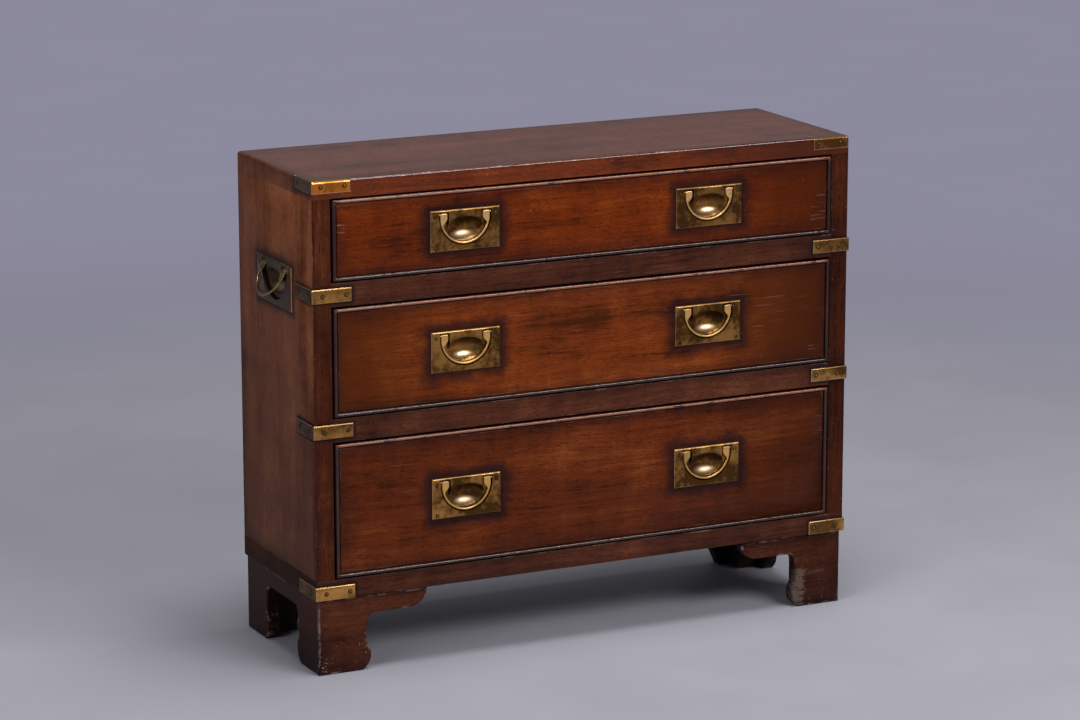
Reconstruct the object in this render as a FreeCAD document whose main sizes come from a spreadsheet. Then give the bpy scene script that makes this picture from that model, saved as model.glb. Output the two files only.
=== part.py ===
import FreeCAD, Part
import math
import os
import re

import Sketcher

# Campaign chest of three drawers on bracket feet, in millimetres.
# +X is to the right, +Y to the back and +Z up. The origin is on the floor, under the middle of the case.
# The chest is the same on both sides, so each right-hand piece mirrors its left-hand one in the plane x = 0.

SIZES = {
    # case
    "case_width": 760,
    "case_depth": 245,
    "side_thickness": 25,
    "top_thickness": 23.2,
    "top_edge_round": 2.5,
    "base_thickness": 25.3,
    "back_thickness": 9,
    "back_rebate": 12,
    "tongue_thickness": 9,
    "tongue_length": 6,
    "tongue_setback": 16,
    # drawer openings and what carries the drawers
    "upper_opening": 106.4,
    "middle_opening": 142.3,
    "lower_opening": 177.2,
    "rail_height": 30.4,
    "rail_depth": 58,
    "tenon_length": 8,
    "tenon_shoulder": 6,
    "runner_width": 16,
    "stop_height": 6,
    "stop_width": 34,
    "stop_depth": 18,
    "stop_gap": 0.3,
    # drawers
    "front_gap": 2.2,
    "running_gap": 0.3,
    "drawer_back_gap": 12,
    "front_thickness": 20,
    "lining_thickness": 9.5,
    "back_lining_thickness": 9,
    "panel_thickness": 6,
    "panel_lift": 8,
    "groove_depth": 4.5,
    "bead_thickness": 4.4,
    "bead_depth": 6,
    "bead_projection": 2.4,
    "bead_nose": 1.6,
    "quirk_width": 1.8,
    "quirk_depth": 1.4,
    "lap_thickness": 8,
    "tail_pitch": 34,
    "pin_width": 5,
    "dovetail_slope": 7,
    # feet
    "foot_height": 98.8,
    "foot_inset": 2.5,
    "foot_length": 150.5,
    "foot_thickness": 17,
    "wing_depth": 24.6,
    "arch_round": 10.5,
    "leg_width": 68.6,
    "toe_width": 60.5,
    "toe_height": 32.5,
    "toe_swell": 7.4,
    "waist_height": 57.5,
    "waist_hollow": 2.9,
    "back_foot_length": 138,
    "back_foot_hollow": 9,
    "block_width": 32,
    "block_lift": 3,
    # brass brackets on the front corners
    "brass_thickness": 1.9,
    "brass_bevel": 0.9,
    "front_leaf": 52,
    "side_leaf": 53.5,
    "strap_height": 17.8,
    "bracket_height": 16,
    "top_leaf_width": 16,
    "top_leaf_round": 21,
    # drawer handles
    "handle_offset": 172.9,
    "plate_width": 95.6,
    "plate_height": 52.4,
    "bail_half_width": 34,
    "bail_drop": 38.8,
    "bail_shoulder": 12,
    "tab_width": 11,
    "tab_length": 9,
    "bow_width": 3.4,
    "bow_spread": 4,
    "bowl_length": 52,
    "bowl_height": 31,
    "bowl_depth": 12,
    "pivot_drop": 5.9,
    # side handles
    "side_handle_height": 486,
    "side_plate_width": 113,
    "side_plate_height": 57.5,
    "side_bail_half_width": 39,
    "side_bail_drop": 42.5,
    "side_bail_shoulder": 13,
    "side_tab_width": 13,
    "side_tab_length": 10,
    "side_bow_width": 4.2,
    "side_bow_spread": 4.6,
    "side_bowl_length": 60,
    "side_bowl_height": 34,
    "side_bowl_depth": 13.5,
    "side_pivot_drop": 6.6,
    "side_bail_angle": 28,
    # what all the handles share
    "plate_thickness": 5.4,
    "plate_proud": 1.5,
    "plate_bevel": 1.3,
    "bowl_wall": 1.5,
    "bail_thickness": 3,
    "bail_rise": 1.2,
    "bail_gap": 0.4,
    "recess_margin": 1.2,
    "pivot_depth": 1.8,
    "pivot_radius": 1,
    "pivot_length": 3,
    "pivot_clearance": 0.05,
    "land_drop": 16,
    "mortise_gap": 0.8,
}

# Places worked out from the sizes. Each is a formula in the names above.
FRONT = "(-case_depth / 2)"
LEFT = "(-case_width / 2)"
BASE_TOP = "(foot_height + base_thickness)"
LOWER_RAIL = f"({BASE_TOP} + lower_opening)"
MIDDLE_FLOOR = f"({LOWER_RAIL} + rail_height)"
UPPER_RAIL = f"({MIDDLE_FLOOR} + middle_opening)"
UPPER_FLOOR = f"({UPPER_RAIL} + rail_height)"
SIDE_TOP = f"({UPPER_FLOOR} + upper_opening)"
CASE_TOP = f"({SIDE_TOP} + top_thickness)"
INNER_WIDTH = "(case_width - 2 * side_thickness)"
SIDE_INNER = f"({LEFT} + side_thickness)"
FRONT_WIDTH = f"({INNER_WIDTH} - 2 * front_gap)"
LINING_INNER = f"({FRONT_WIDTH} / 2 - lining_thickness)"
DRAWER_DEPTH = "(case_depth - back_thickness - drawer_back_gap)"
PANEL_FLOOR = "(front_gap + panel_lift)"
PANEL_TOP = f"({PANEL_FLOOR} + panel_thickness)"
WING_FLOOR = "(foot_height - wing_depth)"
FOOT_LEFT = f"({LEFT} + foot_inset)"
FOOT_FRONT = f"({FRONT} + foot_inset)"
BAIL_CLEAR = "(sqrt(bail_rise ^ 2 + bail_thickness ^ 2 / 4) + bail_gap)"
RECESS_DEPTH = f"(pivot_depth + {BAIL_CLEAR})"
PIVOT_BORE = "(pivot_radius + pivot_clearance)"

OPENINGS = {
    "lower": ("lower_opening", BASE_TOP),
    "middle": ("middle_opening", MIDDLE_FLOOR),
    "upper": ("upper_opening", UPPER_FLOOR),
}
UP = FreeCAD.Vector(0, 0, 1)
LEFT_SIDE = 1
RIGHT_SIDE = -1
BOWL_FACETS = 5
TOUCH = 1e-6

doc = FreeCAD.newDocument("campaign_chest")
sheet = doc.addObject("Spreadsheet::Sheet", "sizes")
nodes = []


# ---------------------------------------------------------------- sizes and formulas


def fill_sheet():
    """Write each driving size to the sheet, under its own name."""
    for row, (name, size) in enumerate(SIZES.items(), 1):
        sheet.set(f"A{row}", name)
        sheet.set(f"B{row}", str(size))
        sheet.setAlias(f"B{row}", name)
    doc.recompute()


def formula(text):
    """The text with each size's name turned into a reference to its cell."""
    return re.sub(r"[a-z_]+", lambda word: f"sizes.{word[0]}" if word[0] in SIZES else word[0], str(text))


def value(text):
    """What a formula comes to with the present sizes."""
    return float(sheet.evalExpression(formula(text)))


def bind(item, **formulas):
    """Bind properties of an item to formulas."""
    for name, text in formulas.items():
        item.setExpression(name, formula(text))


def place(item, across=0, back=0, up=0):
    """Bind where an item stands."""
    item.setExpression("Placement.Base.x", formula(across))
    item.setExpression("Placement.Base.y", formula(back))
    item.setExpression("Placement.Base.z", formula(up))


def arc_radius(chord_across, chord_up, rise):
    """The radius of an arc that rises by this much over a chord with these two legs."""
    return f"((({chord_across}) ^ 2 + ({chord_up}) ^ 2) / (8 * {rise}) + {rise} / 2)"


# ---------------------------------------------------------------- sketches


def new_body(name):
    return doc.addObject("PartDesign::Body", name)


def datum(body, role):
    """The plane or axis of the body's own origin that has this role."""
    return next(feature for feature in body.Origin.OriginFeatures if feature.Role == role)


def new_sketch(body, plane, height=0):
    """A sketch on one of the body's planes, lifted along the plane's normal by a formula."""
    sketch = body.newObject("Sketcher::SketchObject", f"{body.Name}_sketch")
    sketch.AttachmentSupport = [(datum(body, plane), "")]
    sketch.MapMode = "FlatFace"
    sketch.setExpression("AttachmentOffset.Base.z", formula(height))
    return sketch


def dimension(sketch, kind, where, text):
    """Add a constraint whose value is a formula."""
    index = sketch.addConstraint(Sketcher.Constraint(kind, *where, value(text)))
    sketch.setExpression(f"Constraints[{index}]", formula(text))


def arc_centre(start, end, radius, side):
    """The centre of the lesser arc from start to end, left (1) or right (-1) of the way it goes."""
    chord = end - start
    reach = math.sqrt(max(radius**2 - chord.Length**2 / 4, 0))
    across = UP.cross(chord).normalize()
    return start + chord / 2 + across * reach * side


def draw_edge(sketch, start, end, bend):
    """Draw one edge. Returns its index and the vertex numbers of its start and its end."""
    if bend is None:
        return sketch.addGeometry(Part.LineSegment(start, end)), 1, 2
    radius, side = value(bend[0]), bend[1]
    centre = arc_centre(start, end, radius, side)
    first, last = (start, end) if side > 0 else (end, start)
    angles = [math.atan2(point.y - centre.y, point.x - centre.x) for point in (first, last)]
    edge = sketch.addGeometry(Part.ArcOfCircle(Part.Circle(centre, UP, radius), *angles))
    return (edge, 1, 2) if side > 0 else (edge, 2, 1)


def outline(sketch, corners):
    """Close a loop through corners.

    A corner is two formulas, its place on the sketch, and then, where the edge that leaves it is an arc,
    the formula of the arc's radius and the side of the way it goes on which its centre lies.
    """
    points = [FreeCAD.Vector(value(corner[0]), value(corner[1]), 0) for corner in corners]
    ends = points[1:] + points[:1]
    bends = [corner[2:] or None for corner in corners]
    edges = [draw_edge(sketch, *edge) for edge in zip(points, ends, bends)]
    for corner, edge, before, bend in zip(corners, edges, edges[-1:] + edges[:-1], bends):
        sketch.addConstraint(Sketcher.Constraint("Coincident", before[0], before[2], edge[0], edge[1]))
        dimension(sketch, "DistanceX", (-1, 1, edge[0], edge[1]), corner[0])
        dimension(sketch, "DistanceY", (-1, 1, edge[0], edge[1]), corner[1])
        if bend:
            dimension(sketch, "Radius", (edge[0],), bend[0])


def rectangle(sketch, left, low, right, high):
    outline(sketch, [(left, low), (right, low), (right, high), (left, high)])


def octagon(sketch, radius):
    """Eight equal sides round the sketch's origin, with the corners at this radius."""
    outline(sketch, [(f"{radius} * cos({turn})", f"{radius} * sin({turn})") for turn in range(0, 360, 45)])


# ---------------------------------------------------------------- features


def add_feature(body, kind, sketch, **formulas):
    feature = body.newObject(kind, f"{body.Name}_{kind.split('::')[1].lower()}")
    feature.Profile = sketch
    bind(feature, **formulas)
    body.Tip = feature
    return feature


def pad(body, sketch, length, reverse=False, middle=False):
    """Add the sketch's shape, carried along its normal, back along it, or half each way."""
    feature = add_feature(body, "PartDesign::Pad", sketch, Length=length)
    feature.Reversed = reverse
    feature.SideType = "Symmetric" if middle else "One side"
    return feature


def pocket(body, sketch, depth, along=False, middle=False):
    """Cut the sketch's shape against its normal, along it, or half each way."""
    feature = add_feature(body, "PartDesign::Pocket", sketch, Length=depth)
    feature.Reversed = along
    feature.SideType = "Symmetric" if middle else "One side"
    return feature


def repeat(body, feature, axis, length, count):
    """Repeat a feature at even steps along one of the body's axes."""
    doc.recompute()
    pattern = body.newObject("PartDesign::LinearPattern", f"{body.Name}_pattern")
    pattern.Originals = [feature]
    pattern.Direction = (datum(body, axis), [""])
    pattern.Mode = "Extent"
    pattern.Occurrences = count
    bind(pattern, Length=length)
    body.Tip = pattern
    return pattern


def mirror_features(body, features, plane):
    doc.recompute()
    mirror = body.newObject("PartDesign::Mirrored", f"{body.Name}_mirror")
    mirror.Originals = features
    mirror.MirrorPlane = (datum(body, plane), [""])
    body.Tip = mirror
    return mirror


def edge_names(shape, wanted):
    """The names of the edges for which wanted is true of both ends."""
    return [
        f"Edge{index}"
        for index, edge in enumerate(shape.Edges, 1)
        if all(wanted(vertex.Point) for vertex in edge.Vertexes)
    ]


def dress(body, kind, wanted, **formulas):
    """Chamfer or fillet the wanted edges of the body."""
    doc.recompute()
    base = body.Tip
    feature = body.newObject(kind, f"{body.Name}_{kind.split('::')[1].lower()}")
    feature.Base = (base, edge_names(base.Shape, wanted))
    bind(feature, **formulas)
    body.Tip = feature


def bevel(body, size, wanted):
    dress(body, "PartDesign::Chamfer", wanted, Size=size)


def round_edges(body, radius, wanted):
    dress(body, "PartDesign::Fillet", wanted, Radius=radius)


def near(number, text):
    return abs(number - value(text)) < TOUCH


# ---------------------------------------------------------------- nodes


def node(item, label):
    """Name a finished sub-part."""
    item.Label = label
    nodes.append(item)
    return item


def mirrored(item, name):
    """The item's mirror image on the other side of the chest."""
    copy = doc.addObject("Part::Mirroring", name)
    copy.Source = item
    copy.Normal = FreeCAD.Vector(1, 0, 0)
    return copy


def group(items, name):
    """Several solids in one sub-part."""
    compound = doc.addObject("Part::Compound", name)
    compound.Links = items
    return compound


def pair(item, name):
    """A left-hand sub-part and its mirror image, as two nodes."""
    node(item, f"{name}_left")
    node(mirrored(item, f"{name}_right"), f"{name}_right")


def box(name, across, back, up, width, depth, height):
    """A block from its lowest corner and its three sizes."""
    block = doc.addObject("Part::Box", name)
    bind(block, Length=width, Width=depth, Height=height)
    place(block, across, back, up)
    return block


# ---------------------------------------------------------------- case


def tongue_outline(sketch):
    """The tongue on the ends of a side panel, and its groove in the top and the bottom board."""
    middle = f"({LEFT} + side_thickness / 2)"
    rectangle(
        sketch,
        f"{middle} - tongue_thickness / 2",
        f"{FRONT} + tongue_setback",
        f"{middle} + tongue_thickness / 2",
        "case_depth / 2 - tongue_setback",
    )


def tenon_outline(sketch, floor):
    """The tenon of a rail, seen from the side, and its mortise in the side panel."""
    rectangle(
        sketch,
        f"{FRONT} + tenon_shoulder",
        f"{floor} + tenon_shoulder",
        f"{FRONT} + rail_depth - tenon_shoulder",
        f"{floor} + rail_height - tenon_shoulder",
    )


def side_panel():
    """A solid side: tongued into top and base, rebated for the back, mortised for rails and handle."""
    body = new_body("side_panel")
    board = new_sketch(body, "XY_Plane", BASE_TOP)
    rectangle(board, LEFT, FRONT, SIDE_INNER, "case_depth / 2")
    pad(body, board, f"{SIDE_TOP} - {BASE_TOP}")
    tongue = new_sketch(body, "XY_Plane", f"{BASE_TOP} - tongue_length")
    tongue_outline(tongue)
    pad(body, tongue, f"{SIDE_TOP} - {BASE_TOP} + 2 * tongue_length")
    rebate = new_sketch(body, "XY_Plane", SIDE_TOP)
    rectangle(
        rebate,
        f"{SIDE_INNER} - back_rebate",
        "case_depth / 2 - back_thickness",
        SIDE_INNER,
        "case_depth / 2",
    )
    pocket(body, rebate, f"{SIDE_TOP} - {BASE_TOP}")
    for floor in (LOWER_RAIL, UPPER_RAIL):
        mortise = new_sketch(body, "YZ_Plane", SIDE_INNER)
        tenon_outline(mortise, floor)
        pocket(body, mortise, "tenon_length")
    cut_handle_mortise(body, "YZ_Plane", LEFT, 0, "side_handle_height", "side_", along=True)
    return body


def end_board(name, floor, thickness, groove_floor):
    """The top or the bottom board, grooved for the tongues of both sides."""
    body = new_body(name)
    board = new_sketch(body, "XY_Plane", floor)
    rectangle(board, LEFT, FRONT, "case_width / 2", "case_depth / 2")
    pad(body, board, thickness)
    groove = new_sketch(body, "XY_Plane", groove_floor)
    tongue_outline(groove)
    cut = pocket(body, groove, "tongue_length", along=True)
    mirror_features(body, [cut], "YZ_Plane")
    return body


def top_board():
    """The top, with a rounded front edge and two brackets let in flush at its front corners."""
    body = end_board("top_board", SIDE_TOP, "top_thickness", SIDE_TOP)
    round_edges(body, "top_edge_round", lambda point: near(point.z, CASE_TOP) and near(point.y, FRONT))
    leaves = new_sketch(body, "XY_Plane", f"{CASE_TOP} - bracket_height")
    leaf_outline(leaves, "0", "brass_thickness")
    front_cut = pocket(body, leaves, "bracket_height", along=True)
    leaf = new_sketch(body, "XY_Plane", CASE_TOP)
    top_leaf_outline(leaf)
    top_cut = pocket(body, leaf, "brass_thickness")
    mirror_features(body, [front_cut, top_cut], "YZ_Plane")
    return body


def rail(name, floor):
    """A rail between two drawers, with a tenon at each end."""
    body = new_body(name)
    board = new_sketch(body, "YZ_Plane")
    rectangle(board, FRONT, floor, f"{FRONT} + rail_depth", f"{floor} + rail_height")
    pad(body, board, INNER_WIDTH, middle=True)
    tenon = new_sketch(body, "YZ_Plane")
    tenon_outline(tenon, floor)
    pad(body, tenon, f"{INNER_WIDTH} + 2 * tenon_length", middle=True)
    return body


def runners():
    """Bars on the side panels behind the rails. Drawers run on them and under them."""
    bars = [
        box(
            "runner",
            SIDE_INNER,
            f"{FRONT} + rail_depth",
            floor,
            "runner_width",
            "case_depth - rail_depth - back_thickness",
            "rail_height",
        )
        for floor in (LOWER_RAIL, UPPER_RAIL)
    ]
    return group(bars + [mirrored(bar, "runner_right") for bar in bars], "runners")


def stops():
    """Blocks that meet the back of each drawer front near its lower edge."""
    blocks = [
        box(
            "stop",
            f"-{INNER_WIDTH} / 4 - stop_width / 2",
            f"{FRONT} + front_thickness + stop_gap",
            floor,
            "stop_width",
            "stop_depth",
            "stop_height",
        )
        for _, floor in OPENINGS.values()
    ]
    return group(blocks + [mirrored(block, "stop_right") for block in blocks], "stops")


def build_case():
    pair(side_panel(), "side_panel")
    node(top_board(), "top_board")
    groove = f"{BASE_TOP} - tongue_length"
    bottom = end_board("bottom_board", "foot_height", "base_thickness", groove)
    node(bottom, "bottom_board")
    back = box(
        "back",
        f"{SIDE_INNER} - back_rebate",
        "case_depth / 2 - back_thickness",
        BASE_TOP,
        f"{INNER_WIDTH} + 2 * back_rebate",
        "back_thickness",
        f"{SIDE_TOP} - {BASE_TOP}",
    )
    node(back, "back_panel")
    node(rail("upper_rail", UPPER_RAIL), "rail_upper")
    node(rail("lower_rail", LOWER_RAIL), "rail_lower")
    node(runners(), "drawer_runners")
    node(stops(), "drawer_stops")


# ---------------------------------------------------------------- feet


def leg_corners(corner, way):
    """A leg from its outer corner on the floor to the underside of the wing.

    The toe swells inwards, the waist above it is hollowed and the inner corner is rounded.
    The way is 1 where inwards is along the sketch and -1 where it is against it.
    """

    def inwards(distance):
        return f"({corner} + ({distance}) * {way})"

    swell = arc_radius("leg_width - toe_width", "toe_height", "toe_swell")
    hollow = arc_radius(0, "waist_height - toe_height", "waist_hollow")
    return [
        (corner, 0),
        (inwards("toe_width"), 0, swell, way),
        (inwards("leg_width"), "toe_height", hollow, -way),
        (inwards("leg_width"), "waist_height"),
        (inwards("leg_width"), f"{WING_FLOOR} - arch_round", "arch_round", -way),
        (inwards("leg_width + arch_round"), WING_FLOOR),
    ]


def reversed_corners(corners):
    """The same edges drawn the other way round."""
    backwards = []
    for corner, before in zip(corners[::-1], (corners[-2::-1] + [corners[-1]])):
        bend = before[2:]
        backwards.append(corner[:2] + ((bend[0], -bend[1]) if bend else ()))
    return backwards


def mitre(body, across, back):
    """Cut a corner off in plan, from the outer corner to the inner one, at 45 degrees."""
    cut = new_sketch(body, "XY_Plane")
    outer = (FOOT_LEFT, FOOT_FRONT)
    inner = (f"{FOOT_LEFT} + foot_thickness", f"{FOOT_FRONT} + foot_thickness")
    outline(cut, [outer, (across, back), inner])
    pocket(body, cut, "foot_height", along=True)


def base_side():
    """The board under a side panel: a leg at each end and an arch between them."""
    body = new_body("base_side")
    board = new_sketch(body, "YZ_Plane", FOOT_LEFT)
    front_leg = leg_corners(FOOT_FRONT, 1)
    back_leg = reversed_corners(leg_corners(f"(-{FOOT_FRONT})", -1))
    top = [(f"-{FOOT_FRONT}", "foot_height"), (FOOT_FRONT, "foot_height")]
    outline(board, front_leg + back_leg + top)
    pad(body, board, "foot_thickness")
    mitre(body, f"{FOOT_LEFT} + foot_thickness", FOOT_FRONT)
    return body


def front_bracket():
    """The board under the front: a leg, and a wing that ends in a quarter round."""
    body = new_body("front_bracket")
    board = new_sketch(body, "XZ_Plane", f"-{FOOT_FRONT}")
    tip = f"({FOOT_LEFT} + foot_length)"
    wing = [
        (f"{tip} - wing_depth", WING_FLOOR, "wing_depth", 1),
        (tip, "foot_height"),
        (FOOT_LEFT, "foot_height"),
    ]
    outline(board, leg_corners(FOOT_LEFT, 1) + wing)
    pad(body, board, "foot_thickness", reverse=True)
    mitre(body, FOOT_LEFT, f"{FOOT_FRONT} + foot_thickness")
    return body


def back_bracket():
    """The plain board between the base side and the open back, with one hollow edge."""
    body = new_body("back_bracket")
    board = new_sketch(body, "XZ_Plane", f"{FOOT_FRONT} + foot_thickness")
    hollow = arc_radius("back_foot_length - toe_width", "foot_height", "back_foot_hollow")
    outline(
        board,
        [
            (f"{FOOT_LEFT} + foot_thickness", 0),
            (f"{FOOT_LEFT} + toe_width", 0, hollow, -1),
            (f"{FOOT_LEFT} + back_foot_length", "foot_height"),
            (f"{FOOT_LEFT} + foot_thickness", "foot_height"),
        ],
    )
    pad(body, board, "foot_thickness", reverse=True)
    return body


def foot_blocks():
    """The glue block in each foot's corner, which stops short of the floor."""
    inner = f"{FOOT_LEFT} + foot_thickness"
    backs = (f"{FOOT_FRONT} + foot_thickness", f"-{FOOT_FRONT} - foot_thickness - block_width")
    blocks = [
        box(
            "block",
            inner,
            back,
            "block_lift",
            "block_width",
            "block_width",
            "foot_height - block_lift",
        )
        for back in backs
    ]
    return group(blocks + [mirrored(block, "block_right") for block in blocks], "blocks")


def build_feet():
    pair(base_side(), "base_side")
    pair(front_bracket(), "foot_bracket_front")
    pair(back_bracket(), "foot_bracket_back")
    node(foot_blocks(), "foot_blocks")


# ---------------------------------------------------------------- brass brackets


def leaf_outline(sketch, proud, sunk):
    """Two leaves round the front corner of the case, this far out of the wood and this far into it."""
    outline(
        sketch,
        [
            (f"{LEFT} - {proud}", f"{FRONT} - {proud}"),
            (f"{LEFT} + front_leaf", f"{FRONT} - {proud}"),
            (f"{LEFT} + front_leaf", f"{FRONT} + {sunk}"),
            (f"{LEFT} + {sunk}", f"{FRONT} + {sunk}"),
            (f"{LEFT} + {sunk}", f"{FRONT} + side_leaf"),
            (f"{LEFT} - {proud}", f"{FRONT} + side_leaf"),
        ],
    )


def top_leaf_outline(sketch):
    """The leaf that turns the corner on the top, with a hollow inner edge."""
    arm_across = f"{LEFT} + top_leaf_width"
    arm_back = f"{FRONT} + top_leaf_width"
    outline(
        sketch,
        [
            (LEFT, FRONT),
            (f"{LEFT} + front_leaf", FRONT),
            (f"{LEFT} + front_leaf", arm_back),
            (f"{arm_across} + top_leaf_round", arm_back, "top_leaf_round", -1),
            (arm_across, f"{arm_back} + top_leaf_round"),
            (arm_across, f"{FRONT} + side_leaf"),
            (LEFT, f"{FRONT} + side_leaf"),
        ],
    )


def strap(name, floor):
    """An L-shaped strap on the end of a rail or of the bottom board."""
    body = new_body(name)
    leaves = new_sketch(body, "XY_Plane", floor)
    leaf_outline(leaves, "brass_thickness", "0")
    pad(body, leaves, "strap_height")
    bevel(body, "brass_bevel", on_strap_face)
    return body


def on_strap_face(point):
    """True on the two outer faces of a strap."""
    return near(point.x, f"{LEFT} - brass_thickness") or near(point.y, f"{FRONT} - brass_thickness")


def top_bracket():
    """The bracket let into the corner of the top: two leaves as on a strap, and a third on top."""
    body = new_body("top_bracket")
    leaves = new_sketch(body, "XY_Plane", f"{CASE_TOP} - bracket_height")
    leaf_outline(leaves, "0", "brass_thickness")
    pad(body, leaves, "bracket_height")
    leaf = new_sketch(body, "XY_Plane", CASE_TOP)
    top_leaf_outline(leaf)
    pad(body, leaf, "brass_thickness", reverse=True)
    return body


def build_brackets():
    floors = {
        "strap_upper": f"{UPPER_RAIL} + rail_height / 2 - strap_height / 2",
        "strap_lower": f"{LOWER_RAIL} + rail_height / 2 - strap_height / 2",
        "strap_base": "foot_height",
    }
    pair(top_bracket(), "corner_bracket")
    for name, floor in floors.items():
        pair(strap(name, floor), name)


# ---------------------------------------------------------------- handles
# A handle is made about the middle of its plate, on the face of the wood, and it faces -Y.
# The sizes of the side handles have the same names as those of the drawer handles, with side_ before them.


def bowl_reach(kind, wall):
    """The bowl's radius round its level axis, with the wall or without it."""
    radius = arc_radius(f"{kind}bowl_height", 0, f"{kind}bowl_depth")
    return f"({radius} + {wall})"


def bowl_axis(kind):
    """How far behind the face of the wood the bowl's axis lies. It lies in front, so this is negative."""
    return f"({kind}bowl_depth - plate_proud - {bowl_reach(kind, 0)})"


def cut_handle_mortise(body, plane, face, across, up, kind, along):
    """Let a plate into the wood, with a deeper mortise for its bowl."""
    seat_depth = "plate_thickness - plate_proud"
    bowl_depth = f"{kind}bowl_depth - plate_proud + bowl_wall + mortise_gap"
    half_bowl = f"({kind}bowl_length / 2 + bowl_wall + mortise_gap)"
    half_rise = f"({kind}bowl_height / 2 + bowl_wall + mortise_gap)"
    half_width = f"{kind}plate_width / 2"
    half_height = f"{kind}plate_height / 2"
    shapes = ((half_width, half_height, seat_depth), (half_bowl, half_rise, bowl_depth))
    cuts = []
    for width, height, depth in shapes:
        sketch = new_sketch(body, plane, face)
        rectangle(
            sketch,
            f"{across} - {width}",
            f"{up} - {height}",
            f"{across} + {width}",
            f"{up} + {height}",
        )
        cuts.append(pocket(body, sketch, depth, along=along))
    return cuts


def arch_corners(half_width, drop, level, way):
    """The lower half of a bow, as three arcs that meet smoothly.

    It runs between two points at the given level. The side arcs' radius is seven tenths of the drop, and
    the middle arc's radius follows from half the width and the drop. The way is 1 from left to right.
    """
    side = f"({drop} * 0.7)"
    middle = f"(({half_width} ^ 2 + {drop} ^ 2 - 2 * {half_width} * {side}) / (2 * ({drop} - {side})))"
    share = f"({middle} / ({middle} - {side}))"
    turn_across = f"(({half_width} - {side}) * {share})"
    turn_up = f"({level} - {side} * ({middle} - {drop}) / ({middle} - {side}))"
    return [
        (f"-{half_width} * {way}", level, side, way),
        (f"-{turn_across} * {way}", turn_up, middle, way),
        (f"{turn_across} * {way}", turn_up, side, way),
        (f"{half_width} * {way}", level),
    ]


def handle_plate(name, kind):
    """A cast plate: a dished bowl, a recess in which the bail lies and two slots for its pivots."""
    body = new_body(name)
    slab = new_sketch(body, "XZ_Plane", "plate_proud - plate_thickness")
    half_width = f"{kind}plate_width / 2"
    half_height = f"{kind}plate_height / 2"
    rectangle(slab, f"-{half_width}", f"-{half_height}", half_width, half_height)
    pad(body, slab, "plate_thickness")
    bevel(body, "plate_bevel", lambda point: near(point.y, "-plate_proud"))
    add_pan(body, kind)
    cut_bowl(body, kind)
    cut_recess(body, kind)
    cut_pivot_slots(body, kind)
    return body


def add_pan(body, kind):
    """The rounded back of the bowl, as long as the bowl and its walls."""
    reach = bowl_reach(kind, "bowl_wall")
    half = f"sqrt({reach} ^ 2 - {bowl_axis(kind)} ^ 2)"
    pan = new_sketch(body, "YZ_Plane")
    outline(pan, [(0, f"-{half}", reach, 1), (0, half)])
    pad(body, pan, f"{kind}bowl_length + 2 * bowl_wall", middle=True)


def cut_bowl(body, kind):
    """Turn the bowl's section, a row of chords in one arc, round the level axis in front of the plate."""
    axis = bowl_axis(kind)
    radius = arc_radius(f"{kind}bowl_length", 0, f"{kind}bowl_depth")
    centre = f"({kind}bowl_depth - plate_proud - {radius})"
    turn = f"(acos(({axis} - {centre}) / {radius}) / {BOWL_FACETS})"
    section = new_sketch(body, "XY_Plane")
    corners = []
    for facet in range(BOWL_FACETS + 1):
        angle = f"({turn} * {BOWL_FACETS - 2 * facet})"
        corners.append((f"{radius} * sin({angle})", f"{centre} + {radius} * cos({angle})"))
    outline(section, corners)
    groove = add_feature(body, "PartDesign::Groove", section)
    groove.ReferenceAxis = (section, [f"Edge{len(corners)}"])


def pivot_level(kind):
    """How high the bail's pivot is above the middle of the plate."""
    return f"({kind}plate_height / 2 - {kind}pivot_drop)"


def cut_recess(body, kind):
    """The recess: the bail's outline with a margin, less the land that is left between its tabs."""
    pivot = pivot_level(kind)
    shoulder = f"({pivot} - {kind}bail_shoulder)"
    top = f"({pivot} + {BAIL_CLEAR})"
    outer = f"({kind}bail_half_width + recess_margin)"
    drop = f"({kind}bail_drop - {kind}bail_shoulder + recess_margin)"
    land = f"({kind}bail_half_width - {kind}tab_width - recess_margin)"
    recess = new_sketch(body, "XZ_Plane", "plate_proud")
    corners = [(f"-{outer}", top)] + arch_corners(outer, drop, shoulder, 1)
    corners += [(outer, top), (land, top), (land, f"{pivot} - land_drop")]
    corners += [(f"-{land}", f"{pivot} - land_drop"), (f"-{land}", top)]
    outline(recess, corners)
    pocket(body, recess, RECESS_DEPTH)


def cut_pivot_slots(body, kind):
    """Slots from the back of the plate, into which the bail's pivots drop."""
    pivot = pivot_level(kind)
    front = f"(pivot_depth - plate_proud - {PIVOT_BORE})"
    back = "(plate_thickness - plate_proud)"
    wall = f"({kind}bail_half_width + recess_margin)"
    slot = new_sketch(body, "YZ_Plane", wall)
    rectangle(slot, front, f"{pivot} - {PIVOT_BORE}", back, f"{pivot} + {PIVOT_BORE}")
    cut = pocket(body, slot, "pivot_length", along=True)
    mirror_features(body, [cut], "YZ_Plane")


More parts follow.
